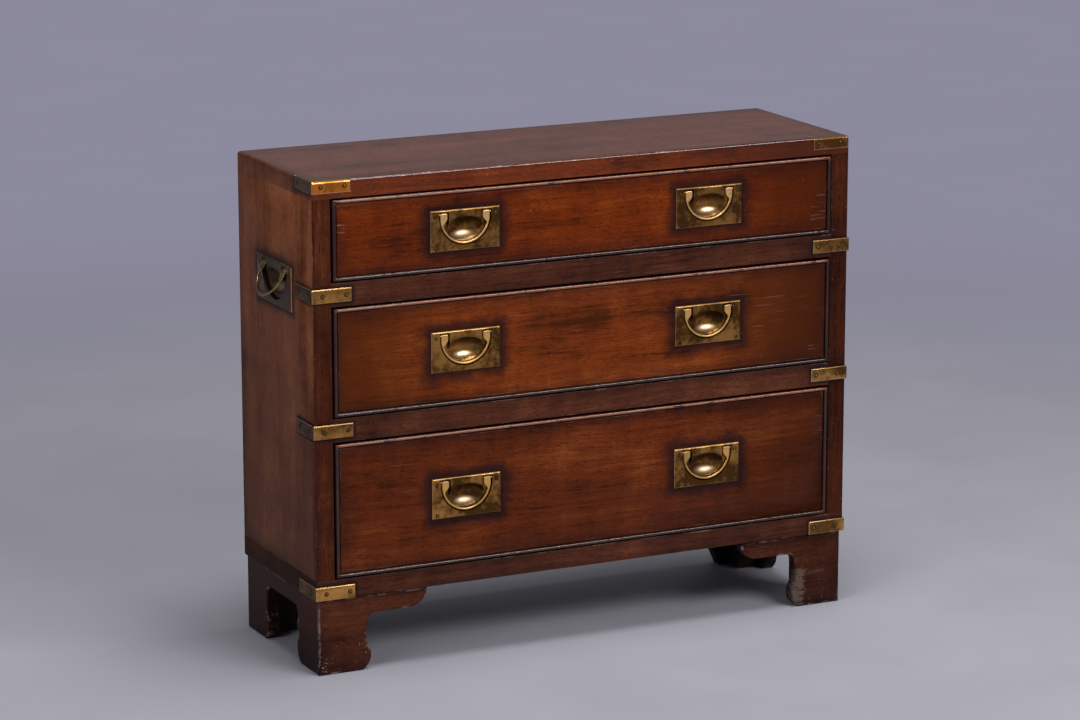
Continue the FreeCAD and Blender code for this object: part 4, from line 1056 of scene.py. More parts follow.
def pin_head(radius, sides=16):
    """A round pin: a profile turned round, with a dark groove at the rim and a low dome, closed behind."""
    turned = np.linspace(0, 2 * math.pi, sides, endpoint=False)
    circle = np.stack([np.cos(turned), np.sin(turned)], axis=1)
    rings = [np.column_stack([radius * part * circle, np.full(sides, up)]) for part, up, _ in PIN_PROFILE]
    points = np.concatenate(rings + [[[0, 0, PIN_CROWN]]])
    top = np.arange(sides) + (len(PIN_PROFILE) - 1) * sides
    dome = np.stack([top, np.roll(top, -1), np.full(sides, len(points) - 1)], axis=1)
    faces = grid_faces(len(PIN_PROFILE), sides, ring=True) + dome.tolist() + [list(range(sides))[::-1]]
    marks = np.append(np.repeat([mark for _, _, mark in PIN_PROFILE], sides), CROWN_MARK)
    return points, faces, marks


def handle_screws(form, sizes, seed):
    """Four screws in the corners of a plate, each turned its own way."""
    turns = iter(np.random.default_rng(seed).uniform(0, math.pi, 4))
    across, half_height = form["width"] / 2 - SCREW_INSET, form["height"] / 2
    heads = []
    for side in (-1, 1):
        for level in (half_height - SCREW_HIGH, SCREW_LOW - half_height):
            head = screw_head(sizes.screw_head / MM / 2, sizes.screw_slot / MM, next(turns))
            heads.append(((head[0] + (side * across, level, PLATE_PROUD - SCREW_SUNK)) * MM, *head[1:]))
    return joined(*heads)


PLATE_CREASE, BAIL_CREASE = 50, 60
PLATE_TINT = (0.73, 0.65, 0.6)
BAIL_TINTS = ((1.2, 1.27, 1.62), (1.04, 1.05, 1.15), (1.0, 1.0, 1.05))
BAIL_METAL = 0.7
# The side plates and bails are darker than the drawers' brass, as painted shade; the plate's forward edge is
# lighter, as a painted highlight.
SIDE_PLATE_SHADE_TINT, SIDE_LIT_EDGE_TINT, SIDE_BAIL_SHADE_TINT = (0.72, 0.8, 1.12), (1.0, 0.68, 0.6), (0.66, 0.74, 1.1)
SIDE_SCREW_SEED = 11


def bail_axis(form, face, middle):
    """How far back and how high the pivots of a handle's bail are, for a plate in the middle of a face."""
    return face + (PIVOT_DEPTH - PLATE_PROUD) * MM, middle + (form["height"] / 2 - form["pivot_drop"]) * MM


class CHEST_OT_drawer_handles(bpy.types.Operator):
    """Cast the drawers' handle plates, their bails and their screws"""

    bl_idname = "chest.drawer_handles"
    bl_label = "Drawer handles"

    def execute(self, context):
        sizes, _ = settings()
        form = DRAWER_HANDLE
        plate, bow = handle_plate(form), bail_shape(form)
        for number, (drawer, bail_tint) in enumerate(zip(DRAWERS, BAIL_TINTS)):
            body, box, shift = f"{drawer}_drawer", drawer_plate_box(drawer), number * 0.31
            low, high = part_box(f"{body}_front")
            middle = (low.z + high.z) / 2
            places = [(side * HANDLE_OFFSET * MM, low.y, middle) for side in (-1, 1)]
            # The plate's marks give it tarnish and painted shade, and a painted highlight low in each bowl.
            metal = brass(f"{drawer}_plate_brass", box, -0.2, hollow=True, shift=shift, tint=PLATE_TINT)
            stood = joined(*(on_front(plate, place) for place in places))
            replaced = [f"{body}_handle_plates"]
            make_piece(f"{drawer}_plates", stood, body, [metal], replaced, PLATE_CREASE)
            heads = [handle_screws(form, sizes, number * 2 + turn) for turn in range(len(places))]
            screws = joined(*(on_front(head, place) for head, place in zip(heads, places)))
            steel = brass(f"{drawer}_screw_brass", box, -0.4, hollow=True, shift=shift + 0.1)
            make_piece(f"{drawer}_plate_screws", screws, body, [steel])
            for side, place in zip(SIDES, places):
                node = f"{drawer}_bail_{side}"
                dull = {"gloss": -0.08, "tint": bail_tint, "metal": BAIL_METAL}
                metal = brass(f"{node}_brass", folded_box(node), 0.55, shift=number * 0.7 + len(side), **dull)
                hung = on_front(bow, (place[0], *bail_axis(form, low.y, middle)))
                make_piece(f"{node}_cast", hung, node, [metal], [node], BAIL_CREASE)
        return {"FINISHED"}


class CHEST_OT_side_handles(bpy.types.Operator):
    """Cast the carrying handles on the sides"""

    bl_idname = "chest.side_handles"
    bl_label = "Side handles"

    def execute(self, context):
        sizes, _ = settings()
        form, node = SIDE_HANDLE, "side_handle_plates"
        low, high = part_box(node)
        middle, face = (low.z + high.z) / 2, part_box("side_panel_left")[0].x
        box = side_plate_box()
        plate = on_left(handle_plate(form), (face, 0, middle))
        # The side plates get darker brass: painted shade.
        metal = brass("side_plate_brass", box, -0.6, hollow=True, shift=2.3, tint=SIDE_PLATE_SHADE_TINT)
        both = joined(plate, mirrored(plate))
        plates = make_piece("side_plates", both, "case", [metal], [node], PLATE_CREASE)
        # Their forward faces get a lighter brass of their own: a painted highlight.
        rubbed = brass("side_plate_lit_edge_brass", box, 0.3, shift=2.3, tint=SIDE_LIT_EDGE_TINT)
        face_material(plates, FORWARD, rubbed, (form["width"] / 2 - PLATE_BEVEL) * MM, 0.4)
        screws = on_left(handle_screws(form, sizes, SIDE_SCREW_SEED), (face, 0, middle))
        steel = brass("side_screw_brass", box, hollow=True, shift=2.1)
        make_piece("side_plate_screws", joined(screws, mirrored(screws)), "case", [steel])
        depth, pivot = bail_axis(form, face, middle)
        bow = on_left(bail_shape(form, SIDE_BAIL_SWING), (depth, 0, pivot))
        for side, hung in zip(SIDES, (bow, mirrored(bow))):
            node = f"side_bail_{side}"
            # The side bails get darker brass: painted shade.
            metal = brass(f"{node}_brass", folded_box(node), 0.05, shift=3.1, gloss=0.06, tint=SIDE_BAIL_SHADE_TINT)
            make_piece(f"{node}_cast", hung, node, [metal], [node], BAIL_CREASE)
        return {"FINISHED"}


# ---------------------------------------------------------------- brackets

# How rubbed each bracket on the left and its fellow on the right are, and the tints of their brass.
STRAPS = {
    "strap_upper": ((0.0, (0.7, 0.63, 0.6)), (-0.1, (0.62, 0.54, 0.54))),
    "strap_lower": ((0.0, (0.7, 0.62, 0.58)), (0.0, (0.72, 0.66, 0.66))),
    "strap_base": ((0.2, (0.8, 0.72, 0.66)), (0.1, (0.82, 0.76, 0.74))),
}
BRACKETS = {"corner_bracket": ((0.4, (1.34, 0.8, 0.38)), (-0.4, (1.1, 0.84, 0.9))), **STRAPS}
STRAP_CREASE = 25
STRAP_ROUND = 0.6 * MM
BRACKET_FINE = 0.15 * MM
PIN_REACHES = (12.5, 44.5)


def strap_shape(low, high, thickness, front_leaf, side_leaf, bevel):
    """A strap round the left front corner: a sheet on an L-shaped path that stands off the wood.

    The height over the wood is the lesser of two bevelled profiles, along the path and up the strap,
    and the corner is a small quarter circle. A second sheet on the wood closes it behind.
    """
    corner_x, corner_y = low[0] + thickness, low[1] + thickness
    rise = np.array([0, thickness - bevel, thickness - 0.12 * bevel, thickness])
    ends = np.array([0, 0, 0.85, 1.15]) * bevel
    turn = np.linspace(0, math.pi / 2, 5)
    side = np.concatenate([-side_leaf + ends, np.zeros(5), (front_leaf - ends)[::-1]])
    along = np.concatenate([rise, np.full(5, thickness), rise[::-1]])
    turns = np.concatenate([np.zeros(4), turn, np.full(4, math.pi / 2)])
    height = high[2] - low[2]
    up = np.concatenate([ends, height - ends[::-1]]) + low[2]
    upward = np.concatenate([rise, rise[::-1]])
    sheets = []
    for limit in (1.0, 0.0):
        off = np.minimum(along[None], upward[:, None]) * limit
        inner = np.clip(off - STRAP_ROUND, 0, None)
        radius = off - inner
        x = corner_x - inner - radius * np.cos(turns) + np.clip(side, 0, None) + inner * (side > 0)
        y = corner_y - inner - radius * np.sin(turns) + np.clip(-side, 0, None) + inner * (side < 0)
        level = np.broadcast_to(up[:, None], x.shape)
        sheets.append((np.stack([x, y, level], axis=-1).reshape(-1, 3), grid_faces(*x.shape)))
    return joined(*sheets)


def bracket_pins(low, high, proud, radius):
    """Two pins on each leaf of a bracket, near the corner and near the end."""
    middle = (low[2] + high[2]) / 2
    points, faces, mark = pin_head(radius / MM)
    head = (points * MM, faces, mark)
    pins = []
    for reach in PIN_REACHES:
        pins.append(on_front(head, (low[0] + proud + reach * MM, low[1], middle)))
        pins.append(on_left(head, (low[0], low[1] + proud + reach * MM, middle)))
    return joined(*pins)


def corner_bracket(node, side, low, metal, box, shift):
    """A corner bracket, let in flush, with the top's easing: dull on top, and with painted shade on its side.
    """
    sizes, _ = settings()
    sides, way = (((1, 1, 0), UP), LEFT) if side == "left" else ((BACK, (1, 0, 1)), RIGHT)
    where = {"joint": (low[2], 0.0, sizes.board_easing), "sides": sides}
    widths = sizes.top_easing, BRACKET_FINE
    bracket = eased_copy(f"{node}_let_in", node, "bracket_brass", [metal], *widths, **where)
    dull = brass(f"{node}_dull_brass", box, -0.9, shift=shift, tint=(0.66, 0.74, 1.25), metal=0.2)
    face_material(bracket, UP, dull)
    # The leaf on the side gets a darker copy of the brass: painted shade.
    dark = brass(f"{node}_dark_brass", box, -0.9, shift=shift, tint=(1.1, 1.1, 1.3), metal=0.9)
    face_material(bracket, way, dark)


class CHEST_OT_brackets(bpy.types.Operator):
    """Make the brass straps and corner brackets with their pins"""

    bl_idname = "chest.brackets"
    bl_label = "Brass brackets"

    def execute(self, context):
        sizes, _ = settings()
        case_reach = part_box("side_panel_left")[0].x
        for number, (name, finishes) in enumerate(BRACKETS.items()):
            (low, high), box = corners_of(f"{name}_left"), folded_box(f"{name}_left")
            proud = case_reach - low[0]
            front_leaf, side_leaf = high[0] - low[0] - proud, high[1] - low[1] - proud
            for side, (rubbed, tint) in zip(SIDES, finishes):
                node, shift = f"{name}_{side}", number * 0.37 + len(side)
                # The leaves on the sides of the chest get painted shade.
                metal = brass(f"{node}_brass", box, rubbed, side_dark=0.75, shift=shift, tint=tint)
                if name not in STRAPS:
                    corner_bracket(node, side, low, metal, box, shift)
                    continue
                strap = strap_shape(low, high, proud, front_leaf, side_leaf, sizes.strap_bevel)
                strap = strap if side == "left" else mirrored(strap)
                make_piece(f"{node}_bent", strap, "case", [metal], [node], STRAP_CREASE)
            pins = bracket_pins(low, high, proud, sizes.pin_head / 2)
            steel = brass(f"{name}_pin_brass", box, 0.2, hollow=True, shift=number * 0.2)
            make_piece(f"{name}_pins", joined(pins, mirrored(pins)), "case", [steel])
        return {"FINISHED"}


# ---------------------------------------------------------------- drawers

BEAD_DEPTH, BEAD_WIDTH = 6 * MM, 4.4 * MM
FIELD_INSET = 6.2 * MM
FRONT_EASING, FRONT_FINE = 0.5 * MM, 0.35 * MM
# The first table tints each drawer front, which also paints in how the light falls: the lower one is darker.
FRONT_TINTS_AND_SHADE = ((1.13, 1.0, 0.8), (1.32, 1.42, 1.85), (0.82, 0.86, 1.45))
# How much painted shade darkens the left and the right end of each drawer front.
FRONT_END_SHADE = ((0.1, 0.75), (0.75, 1.0), (0.1, 0.6))
# The colour of a bead's rubbed crown: bare wood, and a painted highlight.
BEAD_WORN_HIGHLIGHT = (0.3, 0.095, 0.038)
# How rubbed the lower, right, upper and left bead are, at three places along each; the rubbed crown is also
# painted highlight.
BEAD_RUBBING_AND_HIGHLIGHT = ((0.1, 0.2, 0.2), (0.1, 0.1, 0.1), (0.6, 1, 1), (0.5, 0.1, 0.1))


def bead_frame(low, high, face, nose):
    """Four mitred cock beads: a section with an elliptical nose carried round a drawer front's edge.

    Each side has a station at its mitre and one a little way from each end, where the section lies straight
    across the bead. The crown is marked as rubbed, most on the top bead, less on the lower one; that
    paleness is wear and also a painted highlight.
    """
    turn = np.linspace(0, math.pi, 13)
    projection = face - low[1]
    round_nose = np.stack([0.5 - 0.5 * np.cos(turn), projection - nose + nose * np.sin(turn)], axis=1)
    section = np.concatenate([[(0, -BEAD_DEPTH)], round_nose, [(1, -BEAD_DEPTH)]])
    crown = np.concatenate([[0], np.clip(np.sin(turn) * 2 - 1, 0, 1), [0]])
    corners = np.array([(low[0], low[2]), (high[0], low[2]), (high[0], high[2]), (low[0], high[2])])
    ways = np.array([(1, 0), (0, 1), (-1, 0), (0, -1)])
    inwards = np.roll(ways, -1, axis=0)
    ends = np.roll(corners, -1, axis=0)
    straight = ways * 2 * BEAD_WIDTH
    outer = np.stack([corners, corners + straight, ends - straight], axis=1)
    inner = outer + (inwards * BEAD_WIDTH)[:, None]
    inner[:, 0] += ways * BEAD_WIDTH
    rubbed = np.array(BEAD_RUBBING_AND_HIGHLIGHT).reshape(-1)
    points, faces = carried(section, inner.reshape(-1, 2), outer.reshape(-1, 2))
    marks = np.outer(np.append(rubbed, rubbed[0]), crown).reshape(-1)
    return on_front((points, faces, marks), (0, face, 0))


def front_scuffs(number, low, high):
    """Where a drawer front is scratched: the top one in three places, each of the others in one of them."""
    scuffs = [
        (-1, (0.341, low[1], high[2] - 0.030), (0.004, 0.004, 0.012), 4, SCRATCHED, 0.35, 0.57),
        (1, (0.335, low[1], low[2] + 0.028), (0.010, 0.004, 0.008), 6, SCRATCHED, 0.14, 0.56),
        (1, (0.340, low[1], high[2] - 0.050), (0.006, 0.004, 0.012), 5, SCRATCHED, 0.14, 0.56),
    ]
    return scuffs if number == 0 else scuffs[number : number + 1]


class CHEST_OT_drawers(bpy.types.Operator):
    """Finish the drawer fronts, carry their beads round them and finish the linings"""

    bl_idname = "chest.drawers"
    bl_label = "Drawers"

    def execute(self, context):
        sizes, _ = settings()
        for number, (drawer, tint, ends) in enumerate(zip(DRAWERS, FRONT_TINTS_AND_SHADE, FRONT_END_SHADE)):
            body = f"{drawer}_drawer"
            node, beads = f"{body}_front", f"{body}_cock_beads"
            low, high = corners_of(node)
            field = np.array(folded_box(node)) + np.outer((1, -1), (FIELD_INSET, 0, FIELD_INSET))
            # Round its handle plates the front gets old polish and a painted shadow.
            polish = wood(
                f"{drawer}_front_mahogany", "front", "x", field.tolist(), number * 0.83, wear=0.25, reach=26,
                halos=[halo_round(drawer_plate_box(drawer), 22)], gloss=0.3, lustre=0.08, dim=tint,
                scuffs=front_scuffs(number, low, high), ends=ends,
            )
            eased_copy(f"{node}_eased", node, "drawer_mahogany", [polish], FRONT_EASING, FRONT_FINE, body)
            # Each bead's rubbed crown is pale: wear, and a painted highlight.
            black = wood(
                f"{drawer}_bead_mahogany", "front", "x", folded_box(beads), number * 0.4, wear=0.03,
                reach=1.4, soiled=0.8, gloss=0.12, lustre=0.6, dim=0.2, rubbed=1.0, bare_tone=BEAD_WORN_HIGHLIGHT,
            )
            bead = bead_frame(*corners_of(beads), low[1], sizes.bead_nose)
            make_piece(f"{drawer}_cock_bead", bead, body, [black], [beads])
            for part, run in (("side_left", "y"), ("side_right", "y"), ("back", "x"), ("bottom", "x")):
                inside = {"wear": 0.0, "reach": 20, "soiled": 0.35, "gloss": 0.6}
                finish_node(f"{body}_{part}", "lining", "lining", run, number + len(part) * 0.3, **inside)
        return {"FINISHED"}


# ---------------------------------------------------------------- case and feet

BACK_FOOT_EASING = 1.2 * MM
SIDE_TINT, STILE_TINT = (1.3, 1.26, 1.26), (0.95, 0.84, 0.72)
EDGE_TINT, ARRIS_TINT = (1.05, 0.98, 0.9), (1.05, 1.0, 0.9)
FRONT_HALF, END_REACH = 0.12, 0.37
EDGE_BELOW = 0.05
SLANTING = (0, -math.sqrt(0.5), math.sqrt(0.5))


def finish_node(node, ending, look, run, shift, **finishes):
    """Give a node that stays as it is a wood of its own."""
    polish = wood(f"{node}_{ending}", look, run, folded_box(node), shift, **finishes)
    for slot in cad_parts[node].material_slots:
        slot.material = polish


def side_panels(sizes, box, joint, straps):
    """Ease and polish the two sides, whose front edges are darker; returns the polish of each."""
    plate, corner = halo_round(side_plate_box(), 15), halo_round(folded_box("corner_bracket_left"), 8)
    polishes = []
    for side, shift in zip(SIDES, (0.2, 1.9)):
        node = f"side_panel_{side}"
        # Each side gets old polish and a painted shadow round its brass, and painted shade towards its foot.
        polish = wood(
            f"{side}_side_mahogany", "side", "z", box, shift, wear=0.4, reach=22, gloss=0.42,
            halos=[plate, *straps, corner], lustre=0.05, dim=SIDE_TINT, streaks=0.3, shade_towards_foot=0.5,
        )
        widths = sizes.board_easing, sizes.groove_easing
        panel = eased_copy(f"{node}_eased", node, "side_mahogany", [polish], *widths, joint=joint)
        stile = wood(
            f"{side}_stile_mahogany", "foot", "z", box, shift + 0.7, wear=0.2, reach=12,
            halos=straps, marks=0.9, gloss=0.34, lustre=0.05, dim=STILE_TINT,
        )
        face_material(panel, FORWARD, stile, FRONT_HALF)
        polishes.append(polish)
    return polishes


def top_board(sizes, box, joint, sides, end_reach):
    """Ease and polish the top: its ends are like the sides, its front edge and that arris are glossier."""
    # The least width keeps a pale line along each arris of the top: wear, and a painted highlight.
    worn = {"wear": 0.9, "reach": 22, "gloss": 0.26, "lustre": 0.32, "streaks": 0.3, "least": 0.5}
    polish = wood("top_mahogany", "top", "x", box, 0.5, **worn)
    widths = sizes.top_easing, sizes.groove_easing
    top = eased_copy("top_board_eased", "top_board", "top_mahogany", [polish], *widths, joint=joint)
    for way, polish in zip((LEFT, RIGHT), sides):
        face_material(top, way, polish, end_reach)
    low, high = box
    upper = ((*low[:2], low[2] - EDGE_BELOW), high)
    # The front edge and its arris get painted shade at their ends, most at the right.
    edge = wood(
        "top_edge_mahogany", "front", "x", upper, 1.1, wear=0.9, reach=6,
        marks=0.9, gloss=0.2, lustre=0.3, dim=EDGE_TINT, least=0.3, ends=(0.2, 0.85),
    )
    face_material(top, FORWARD, edge, FRONT_HALF)
    arris = wood(
        "top_arris_mahogany", "front", "x", upper, 1.1, wear=0.9, reach=6,
        marks=0.8, gloss=0.1, lustre=0.8, dim=ARRIS_TINT, least=0.2, ends=(0.2, 0.8),
    )
    face_material(top, SLANTING, arris, facing=0.8)


def rails(sizes, straps):
    """Ease and polish the rails and the bottom board, whose ends show in the sides."""
    worn = {"wear": 0.5, "reach": 12, "soiled": 0.4, "halos": straps, "dim": 1.15}
    boards = {}
    for number, node in enumerate(("rail_upper", "rail_lower", "bottom_board")):
        polish = wood(f"{node}_mahogany", "foot", "x", folded_box(node), number * 0.7 + 0.1, **worn)
        widths = sizes.rail_easing, sizes.groove_easing
        boards[node] = eased_copy(f"{node}_eased", node, "rail_mahogany", [polish], *widths)
    dull = {"wear": 0.3, "reach": 20, "halos": straps, "gloss": 0.5, "lustre": 0.05, "dim": 0.55}
    end = wood("bottom_board_ends", "foot", "y", folded_box("bottom_board"), 0.9, **dull)
    for way in (LEFT, RIGHT):
        face_material(boards["bottom_board"], way, end, END_REACH)


def inside_and_back(sizes):
    """Finish what is of pine: the back, the runners and stops, and the stained blocks and back feet."""
    for node, run in (("back_panel", "z"), ("drawer_runners", "y"), ("drawer_stops", "x")):
        finish_node(node, "pine", "pine", run, len(node) * 0.17, wear=0.0, soiled=0.4, gloss=0.66)
    finish_node("foot_blocks", "stained", "stain", "z", 0.4, wear=0.0, soiled=0.4, gloss=0.7)
    for side in SIDES:
        node = f"foot_bracket_back_{side}"
        box, shift = folded_box(node), len(node) * 0.21
        pine = wood(f"{node}_stained", "stain", "x", box, shift, wear=0.2, gloss=0.66)
        widths = BACK_FOOT_EASING, sizes.groove_easing
        eased_copy(f"{node}_eased", node, "carcase_pine", [pine], *widths)


class CHEST_OT_case(bpy.types.Operator):
    """Ease and polish the boards of the case, and finish what is inside it"""

    bl_idname = "chest.case"
    bl_label = "Case"

    def execute(self, context):
        sizes, _ = settings()
        # Round the straps the boards get old polish and a painted shadow.
        straps = [halo_round(folded_box(f"{name}_left"), 7) for name in STRAPS]
        top_box = folded_box("top_board")
        side_low, side_high = folded_box("side_panel_right")
        whole_side = (side_low, (*side_high[:2], top_box[1][2]))
        joint = (top_box[0][2], side_low[0], sizes.board_easing)
        sides = side_panels(sizes, whole_side, joint, straps)
        top_board(sizes, top_box, joint, sides, side_high[0] - MM)
        rails(sizes, straps)
        inside_and_back(sizes)
        return {"FINISHED"}


# The sizes of the bracket feet in millimetres.
FOOT_HEIGHT = 98.8
FOOT_LENGTH = 150.5
FOOT_THICKNESS = 17.0
WING_DEPTH = 24.6
FOOT_UNDER = FOOT_HEIGHT - WING_DEPTH
ARCH_ROUND = 10.5
LEG_WIDTH = 68.6
TOE_WIDTH = 60.5
TOE_HEIGHT = 32.5
TOE_SWELL = 7.4
WAIST_HEIGHT = 57.5
WAIST_HOLLOW = 2.9
FOOT_CREASE, FOOT_STEPS = 40, 6
FOOT_BARE = (0.3, 0.24, 0.205)
# Each foot's name, its node, the way its grain runs, its tint and how much of that the right one keeps.
FEET = (
    ("front_foot", "foot_bracket_front", "x", (1.35, 1.4, 1.5), 0.8),
    ("side_foot", "base_side", "y", (0.56, 0.48, 0.42), 1.0),
)


def quarter_rise(radius):
    return radius * (1 - math.cos(math.pi / 4))


def leg_outline():
    """A leg from its outer corner on the floor: a swelling toe, a hollow waist and a round inner corner."""
    toe_top, waist = (LEG_WIDTH, TOE_HEIGHT), (LEG_WIDTH, WAIST_HEIGHT)
    corner, wing = (LEG_WIDTH, FOOT_UNDER - ARCH_ROUND), (LEG_WIDTH + ARCH_ROUND, FOOT_UNDER)
    toe = arc((TOE_WIDTH, 0), toe_top, TOE_SWELL, 14)
    hollow = arc(toe_top, waist, -WAIST_HOLLOW, 10)
    round_corner = arc(corner, wing, -quarter_rise(ARCH_ROUND), 10)
    return np.concatenate([[(0.0, 0.0)], toe, hollow, [waist], round_corner, [wing]])


def front_foot_outline():
    """The front bracket foot: a leg and a wing that ends in a quarter round."""
    tip = arc((FOOT_LENGTH - WING_DEPTH, FOOT_UNDER), (FOOT_LENGTH, FOOT_HEIGHT), quarter_rise(WING_DEPTH), 8)
    return np.concatenate([leg_outline(), tip, [(FOOT_LENGTH, FOOT_HEIGHT), (0.0, FOOT_HEIGHT)]])


def side_foot_outline(depth):
    """The board under a side: a leg at each end and the arch between them."""
    leg = leg_outline()
    other = (leg * (-1, 1) + (depth, 0))[::-1]
    return np.concatenate([leg, other, [(depth, FOOT_HEIGHT), (0.0, FOOT_HEIGHT)]])


def foot_scuffs(reach, front):
    """Where the front feet are worn: shoes have rubbed the right one, and the left one has lost chips."""
    return [
        (1, (reach - 0.064, front, 0.026), (0.005, 0.004, 0.020), 15, CHAFED, 0.26, 0.38),
        (1, (reach - 0.045, front, 0.050), (0.020, 0.004, 0.004), 9, SCRATCHED, 0.1, 0.56),
        (-1, (reach - 0.004, front, 0.008), (0.004, 0.004, 0.012), 20, CHIPPED, 0.8, 0.60),
        (-1, (reach - 0.062, front, 0.026), (0.004, 0.004, 0.014), 12, CHIPPED, 0.6, 0.60),
    ]


class CHEST_OT_feet(bpy.types.Operator):
    """Saw the bracket feet to their outline and round their worn edges"""

    bl_idname = "chest.feet"
    bl_label = "Bracket feet"

    def execute(self, context):
        sizes, _ = settings()
        low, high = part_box("base_side_left")
        boards = [
            slab(outline * MM, FOOT_THICKNESS * MM, sizes.foot_easing, FOOT_STEPS)
            for outline in (front_foot_outline(), side_foot_outline((high.y - low.y) / MM))
        ]
        front = on_front(boards[0], (low.x, low.y, 0))
        front[0][:, 0] = np.maximum(front[0][:, 0], low.x + front[0][:, 1] - low.y)
        side = moved(boards[1], (low.x, low.y, 0), BACK, UP, LEFT)
        side[0][:, 1] = np.maximum(side[0][:, 1], low.y + side[0][:, 0] - low.x)
        near = ((0.0, low.y, 0.0), (-low.x, -low.y, FOOT_HEIGHT * MM))
        for (name, node, run, tint, kept), shape in zip(FEET, (front, side)):
            for hand, share_kept, turned in zip(SIDES, (1.0, kept), (shape, mirrored(shape))):
                # The feet get painted shade that grows towards the floor.
                polish = wood(
                    f"{name}_{hand}_mahogany", "foot", run, near, len(hand) * 0.43, wear=0.8, reach=24,
                    marks=0.8, lustre=0.05, dim=np.array(tint) * share_kept, rubbed=0.55,
                    scuffs=foot_scuffs(-low.x, low.y), streaks=0.4, shade_towards_foot=0.35, bare_tone=FOOT_BARE,
                )
                piece, replaced = f"{name}_{hand}", [f"{node}_{hand}"]
                make_piece(piece, turned, "case", [polish], replaced, FOOT_CREASE)
        return {"FINISHED"}


# ---------------------------------------------------------------- stage

FLOOR_RINGS, FLOOR_SIDES, FLOOR_REACH = 12, 64, 16.0
FLOOR_FADE = (0.9, 3.0)
SKY_COLOUR, SKY_STRENGTH = (0.86, 0.88, 0.95, 1), 0.2
# Each lamp's place, what it shines at, its width and height in metres, and its power in watts.
LAMPS = {
    "key": ((1.5, -3.4, 2.8), (0, 0, 0.35), (2.6, 1.2), 106),
    "fill": ((-3.3, -1.8, 2.2), (0, 0, 0.35), (1.3, 1.0), 30),
    "above": ((0.1, -0.4, 3.4), (0, 0, 0.4), (1.8, 1.2), 70),
}
CAMERA_PLACE, CAMERA_AIM = (-2.1717, -4.4521, 1.5043), (-0.00935, 0, 0.34673)
CAMERA_ROLL, CAMERA_LENS, SENSOR_WIDTH = math.radians(-0.05), 129.57, 36


def stood_up(name, data, place):
    """A lamp or a camera in the scene, at its place."""
    holder = bpy.data.objects.new(name, data)
    bpy.context.scene.collection.objects.link(holder)
    holder.location = place
    return holder


def turned_to(place, aim):
    return (Vector(aim) - Vector(place)).to_track_quat("-Z", "Y")


def soft_lamp(name, place, aim, size, power):
    lamp = bpy.data.lights.new(name, "AREA")
    lamp.shape = "RECTANGLE"
    lamp.size, lamp.size_y = size
    lamp.energy = power
    stood_up(name, lamp, place).rotation_euler = turned_to(place, aim).to_euler()


def floor_mesh():
    """A round floor: rings that lie closer together near the chest, and a point in their middle."""
    radii = np.linspace(0, 1, FLOOR_RINGS + 1)[1:] ** 1.5 * FLOOR_REACH
    angle = np.linspace(0, 2 * math.pi, FLOOR_SIDES, endpoint=False)
    flat = np.zeros((FLOOR_RINGS, FLOOR_SIDES))
    points = np.stack([np.outer(radii, np.cos(angle)), np.outer(radii, np.sin(angle)), flat], axis=-1)
    first = np.arange(FLOOR_SIDES)
    centre = np.stack([np.roll(first, -1), first, np.full(FLOOR_SIDES, flat.size)], axis=1)
    faces = grid_faces(FLOOR_RINGS, FLOOR_SIDES, ring=True) + centre.tolist()
    mesh = bpy.data.meshes.new("floor")
    mesh.from_pydata(points.reshape(-1, 3).tolist() + [(0, 0, 0)], [], [face[::-1] for face in faces])
    return mesh


def floor_material(finish):
    """A plain floor, a little cloudy, that turns into the backdrop's own colour far from the chest."""
    material, tree, shader, place = new_material("plain_floor")
    clouds = tree.noise(place, 3.0, 5.0, 0.6)
    rays = tree.add("ShaderNodeLightPath").outputs
    seen = tree.most(*(Value(tree, rays[kind]) for kind in ("Is Camera Ray", "Is Glossy Ray")))
    far = tree.ramp(tree.distance(place), *FLOOR_FADE) * seen
    deeper = tuple(part * 0.94 for part in finish.floor)
    ground = tree.mix(tree.ramp(clouds, 0.3, 0.7), deeper, tuple(finish.floor))
    tree.feed(shader.inputs["Base Color"], tree.mix(far, ground, (0, 0, 0)))
    tree.feed(shader.inputs["Emission Color"], tree.mix(far, (0, 0, 0), tuple(finish.backdrop)))
    tree.feed(shader.inputs["Emission Strength"], 1.0)
    tree.feed(shader.inputs["Roughness"], tree.ramp(clouds, 0.2, 0.8, 0.55, 0.75))
    return material


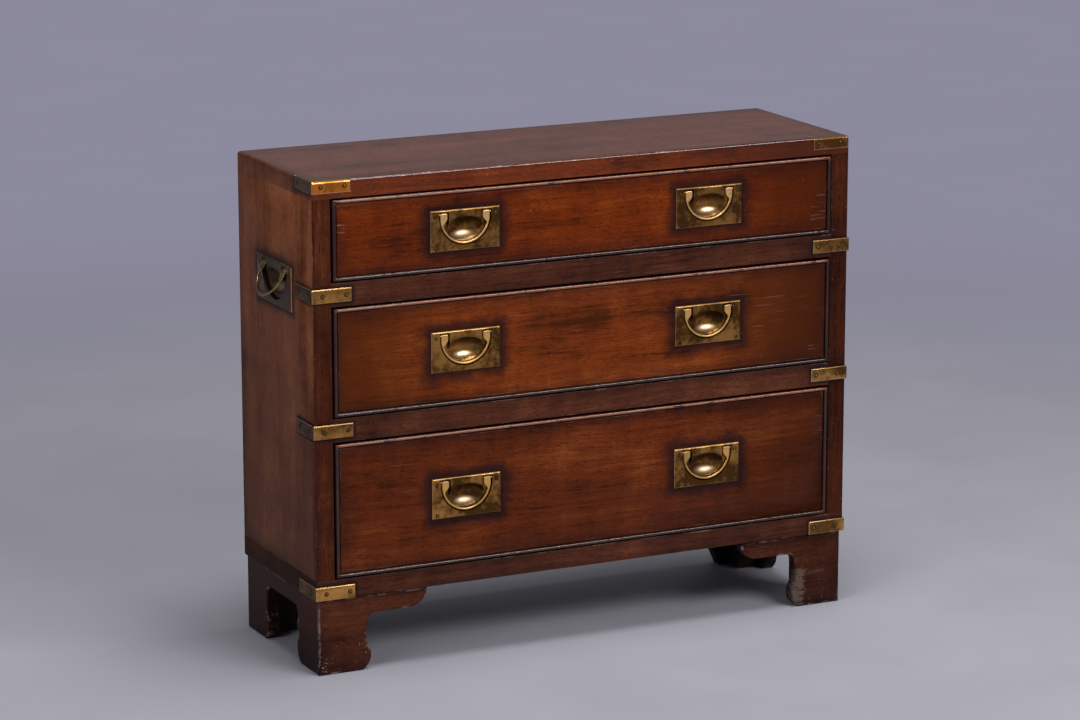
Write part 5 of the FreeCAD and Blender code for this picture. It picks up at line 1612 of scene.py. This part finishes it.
class CHEST_OT_stage(bpy.types.Operator):
    """Lay the floor, hang the lamps and stand the camera"""

    bl_idname = "chest.stage"
    bl_label = "Stage"

    def execute(self, context):
        _, finish = settings()
        scene = context.scene
        floor = stood_up("floor", floor_mesh(), (0, 0, 0))
        floor.data.materials.append(floor_material(finish))
        world = bpy.data.worlds.new("studio")
        world.use_nodes = True
        sky = world.node_tree.nodes["Background"].inputs
        sky["Color"].default_value = SKY_COLOUR
        sky["Strength"].default_value = SKY_STRENGTH
        scene.world = world
        for name, (place, aim, size, power) in LAMPS.items():
            soft_lamp(name, place, aim, size, power)
        camera = bpy.data.cameras.new("camera")
        camera.sensor_width = SENSOR_WIDTH
        camera.lens = CAMERA_LENS
        holder = stood_up("camera", camera, CAMERA_PLACE)
        turn = turned_to(CAMERA_PLACE, CAMERA_AIM).to_matrix() @ Matrix.Rotation(CAMERA_ROLL, 3, "Z")
        holder.rotation_euler = turn.to_euler()
        scene.camera = holder
        scene.view_settings.view_transform = "Standard"
        return {"FINISHED"}


# ---------------------------------------------------------------- panel


class CHEST_PT_panel(bpy.types.Panel):
    """The chest's settings and its operators"""

    bl_label = "Campaign chest"
    bl_idname = "CHEST_PT_panel"
    bl_space_type = "VIEW_3D"
    bl_region_type = "UI"
    bl_category = "Chest"

    def draw(self, context):
        for group in (context.scene.chest_sizes, context.scene.chest_finish):
            box = self.layout.box()
            for setting in group.__annotations__:
                box.prop(group, setting)
        for operator in OPERATORS:
            self.layout.operator(operator.bl_idname)


OPERATORS = (
    CHEST_OT_case,
    CHEST_OT_feet,
    CHEST_OT_drawers,
    CHEST_OT_brackets,
    CHEST_OT_drawer_handles,
    CHEST_OT_side_handles,
    CHEST_OT_stage,
)
CLASSES = (ChestSizes, ChestFinish, *OPERATORS, CHEST_PT_panel)


def register():
    for entry in CLASSES:
        bpy.utils.register_class(entry)
    bpy.types.Scene.chest_sizes = bpy.props.PointerProperty(type=ChestSizes)
    bpy.types.Scene.chest_finish = bpy.props.PointerProperty(type=ChestFinish)


def unregister():
    del bpy.types.Scene.chest_finish
    del bpy.types.Scene.chest_sizes
    for entry in reversed(CLASSES):
        bpy.utils.unregister_class(entry)


def main():
    register()
    build_groups()
    bpy.ops.chest.case()
    bpy.ops.chest.feet()
    bpy.ops.chest.drawers()
    bpy.ops.chest.brackets()
    bpy.ops.chest.drawer_handles()
    bpy.ops.chest.side_handles()
    bpy.ops.chest.stage()


if __name__ == "__main__":
    main()
